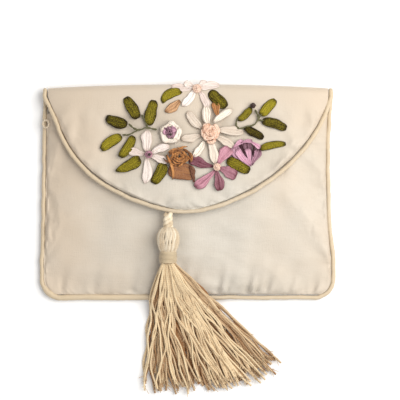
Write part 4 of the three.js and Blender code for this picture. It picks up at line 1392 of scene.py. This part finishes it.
def make_skirt(finish):
    """The skirt: threads below in a darker, more golden tone as painted shade, and paler ones in locks that
    cross over them, painted darker the lower they lie.
    """
    rng = random.Random(11)
    locks = 15
    under, under_tones, paths, tones = [], [], [], []
    for index in range(UNDER_STRANDS):
        place = lerp(0.08, 0.9, (index + 0.5) / UNDER_STRANDS)
        under.append(skirt_strand(rng, place, rng.uniform(0.9, 0.98), 0.0))
        # Painted shade: the threads below are darker where the locks cover them and lighter towards the sides
        # of the fan, with random tone on top
        under_tones.append(rng.uniform(-0.1, 0.6) + 0.6 * smooth((abs(place - 0.5) - 0.22) / 0.15))
    for index in range(STRANDS):
        lock = rng.randrange(locks)
        place = clamp((lock + 0.5 + rng.gauss(0, 0.42)) / locks) ** 0.8
        layer = 0.15 + 0.85 * rng.random()
        length = rng.uniform(0.94, 1.02) - (0.1 if rng.random() < 0.1 else 0)
        paths.append(skirt_strand(rng, place, length, layer))
        # Painted shade: the lower a thread lies in the pile, the darker it is, with random tone on top
        tones.append(lerp(-0.1, 1.05, smooth(layer)) + rng.uniform(-0.25, 0.2))
    below = tubes("skirt_under", under, STRAND * 0.62, sides=5, tones=under_tones)
    above = tubes("skirt_strands", paths, STRAND / 2, sides=6, tones=tones)
    hairs = stray_hairs(rng, paths + under)
    hair_tones = [rng.uniform(0.5, 1.1) for _ in hairs]
    frayed = tubes("stray_hairs", hairs, HAIR / 2, sides=4, tones=hair_tones)
    return dress(joined("skirt_strands", [above, below, frayed]), finish, "tassel_thread", "tassel")


# The tassel's head from top to neck: share of its length, share of its half width
HEAD_PROFILE = [
    (0, 0.3),
    (0.03, 0.52),
    (0.1, 0.76),
    (0.22, 0.93),
    (0.4, 1.02),
    (0.62, 1.0),
    (0.8, 0.9),
    (0.92, 0.8),
    (1, 0.72),
]


def make_head(finish):
    """The head: threads that come out at its top and lie over it, down to the neck."""
    rng = random.Random(23)
    paths, tones = [], []
    for k in range(HEAD_THREADS):
        angle = 2 * math.pi * k / HEAD_THREADS
        stray = rng.uniform(0, 0.5)
        points = []
        for down, width in HEAD_PROFILE:
            y = HEAD_Y + 0.3 - down * (HEAD_LENGTH + 0.6)
            z = lerp(HEAD_Z, NECK_Z, down**3)
            lean = angle + 0.25 * down + 0.06 * rng.uniform(-1, 1)
            loose = stray * math.sin(math.pi * down)
            half = width * (HEAD_WIDTH / 2 - 0.4) + 0.5 * loose
            thick = width * (HEAD_THICKNESS / 2 - 0.4) + 0.3 * loose
            points.append((TASSEL_X + half * math.cos(lean), y, z + thick * math.sin(lean)))
        paths.append(through(points, 3))
        tones.append(0.6 + rng.uniform(-0.3, 0.4))
    head = tubes("head_threads", paths, HEAD_THREAD / 2, sides=6, tones=tones)
    middle = []
    for k in range(7):
        z = lerp(HEAD_Z, NECK_Z, (k / 6) ** 3)
        middle.append(Vector((TASSEL_X, HEAD_Y - 0.6 - 8 * k / 6, z)))
    # The core's low tone is painted shade where it shows between the threads
    shaded_core = tubes("head_core", [middle], 2.4, sides=14, tones=[0.1])
    return dress(joined("tassel_head_threads", [head, shaded_core]), finish, "tassel_thread")


def make_binding(finish):
    """The thread that is wound round the neck."""
    wound = []
    turns = int(BINDING_LENGTH / (BINDING_THREAD * 1.02))
    for step in range(turns * 20 + 1):
        angle = 2 * math.pi * step / 20
        share = step / (turns * 20)
        bulge = 0.3 * math.sin(math.pi * share)
        half = NECK_WIDTH / 2 + GAP + 0.35 + bulge
        thick = NECK_THICKNESS / 2 + GAP + 0.35 + bulge
        y = NECK_Y - GAP - 0.15 - share * (BINDING_LENGTH - 0.3)
        wound.append(Vector((TASSEL_X + half * math.cos(angle), y, NECK_Z + thick * math.sin(angle))))
    inner = [Vector((TASSEL_X, NECK_Y - GAP - BINDING_LENGTH * k / 4, NECK_Z)) for k in range(5)]
    # The core's low tone is painted shade where it shows between the turns
    shaded_core = tubes("binding_core", [inner], NECK_THICKNESS / 2 + 0.3, sides=20, tones=[0.1])
    coil = tubes("binding_coil", [wound], BINDING_THREAD / 2, sides=6, tones=[0.7])
    return dress(joined("tassel_binding_coil", [coil, shaded_core]), finish, "tassel_thread", "tassel_binding")


def make_hanger(finish):
    """The thick plies twisted together that the tassel hangs by."""
    plies = []
    start_z = flap_low(TASSEL_X, FLAP_TIP_Y + SEAM_INSET) + CLOTH / 2
    for k in range(3):
        points = []
        for step in range(29):
            share = step / 28
            angle = 2 * math.pi * (k / 3 + 1.2 * share)
            out = lerp(0.95, 1.2, smooth(share * 1.4))
            x = TASSEL_X + out * math.cos(angle)
            z = lerp(start_z, HEAD_Z, share) + out * 0.75 * math.sin(angle)
            points.append(Vector((x, HANGER_Y + 0.4 - share * (HANGER_LENGTH + 1.4), z)))
        plies.append(points)
    # The second ply's lower tone is painted shade, so the twist shows darker creases
    piece = tubes("hanger_plies", plies, HANGER_PLY / 2, sides=12, tones=[1.0, 0.5, 0.8])
    return dress(piece, finish, "tassel_thread", "tassel_loop")


def make_tassel():
    """The tassel from its skirt up to its hanger, each part in its own thread."""
    finish = thread_finish("skirt_thread", rgb(225, 202, 164), rgb(134, 86, 38), ply=0.14, gloss=0.3)
    make_skirt(finish)
    finish = thread_finish("head_thread", rgb(228, 216, 194), rgb(176, 148, 110), ply=0.1, gloss=0.3)
    make_head(finish)
    looks = {"ply": 0.1, "gloss": 0.35, "roughness": 0.4}
    finish = thread_finish("binding_thread", rgb(218, 201, 170), rgb(150, 122, 84), **looks)
    make_binding(finish)
    finish = thread_finish("hanger_thread", rgb(236, 222, 196), rgb(160, 130, 90), ply=0.2, gloss=0.3)
    make_hanger(finish)


def make_side_loop():
    """The small thread ring on the left seam, two plies twisted together."""
    cream = thread_finish("loop_thread", rgb(240, 226, 204), rgb(190, 170, 142))
    y = FOLD_Y - RING_BELOW_FOLD
    x = -side_at(LEFT, y, PIPING * 0.8)
    z = front_top(x + RING_DIAMETER / 2, y) + GAP + RING_THREAD / 2
    radius = (RING_DIAMETER - RING_THREAD) / 2
    paths = []
    for k in range(2):
        points = []
        for step in range(41):
            angle = 2 * math.pi * step / 40
            twist = angle * 5 + math.pi * k
            out = radius + 0.2 * math.cos(twist)
            across, up = 0.9 * out * math.cos(angle), 1.1 * out * math.sin(angle)
            points.append(Vector((x + across, y + up, z + 0.2 * math.sin(twist))))
        paths.append(points)
    dress(tubes("side_loop_plies", paths, LOOP_PLY / 2, sides=8), cream, "loop_thread", "side_loop")


def finish_snap():
    """The snap under the flap keeps its solid and gets a brushed metal finish."""
    finish = Finish("snap_metal", Metallic=1.0)
    grain = finish.noise(finish.object_place((1, 6, 1)), size=0.7, detail=3)
    wear = finish.noise(finish.object_place(), size=2.5, detail=3)
    colour = finish.blend(wear, rgb(150, 148, 142), rgb(196, 194, 188))
    metal = finish.wear(colour, finish.ramp(grain, -0.2, 1.8), grain, 0.03)
    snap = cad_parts["snap"]
    for slot in snap.material_slots:
        slot.material = metal


def main():
    add_camera()
    add_studio()
    silk = silk_finish("cream_silk", rgb(206, 199, 188), rgb(188, 181, 168), rgb(200, 184, 164))
    piping_colours = (rgb(209, 194, 170), rgb(186, 168, 142), rgb(202, 183, 154))
    piping_silk = silk_finish("piping_silk", *piping_colours, slub=1.2)
    dress(make_shell(), silk, "silk", "back_and_flap")
    dress(make_front(), silk, "silk", "front_panel")
    dress(make_body_piping(), piping_silk, "piping_silk", "body_piping")
    dress(make_flap_piping(), piping_silk, "piping_silk", "flap_piping")
    make_spray()
    make_tassel()
    make_side_loop()
    finish_snap()


main()
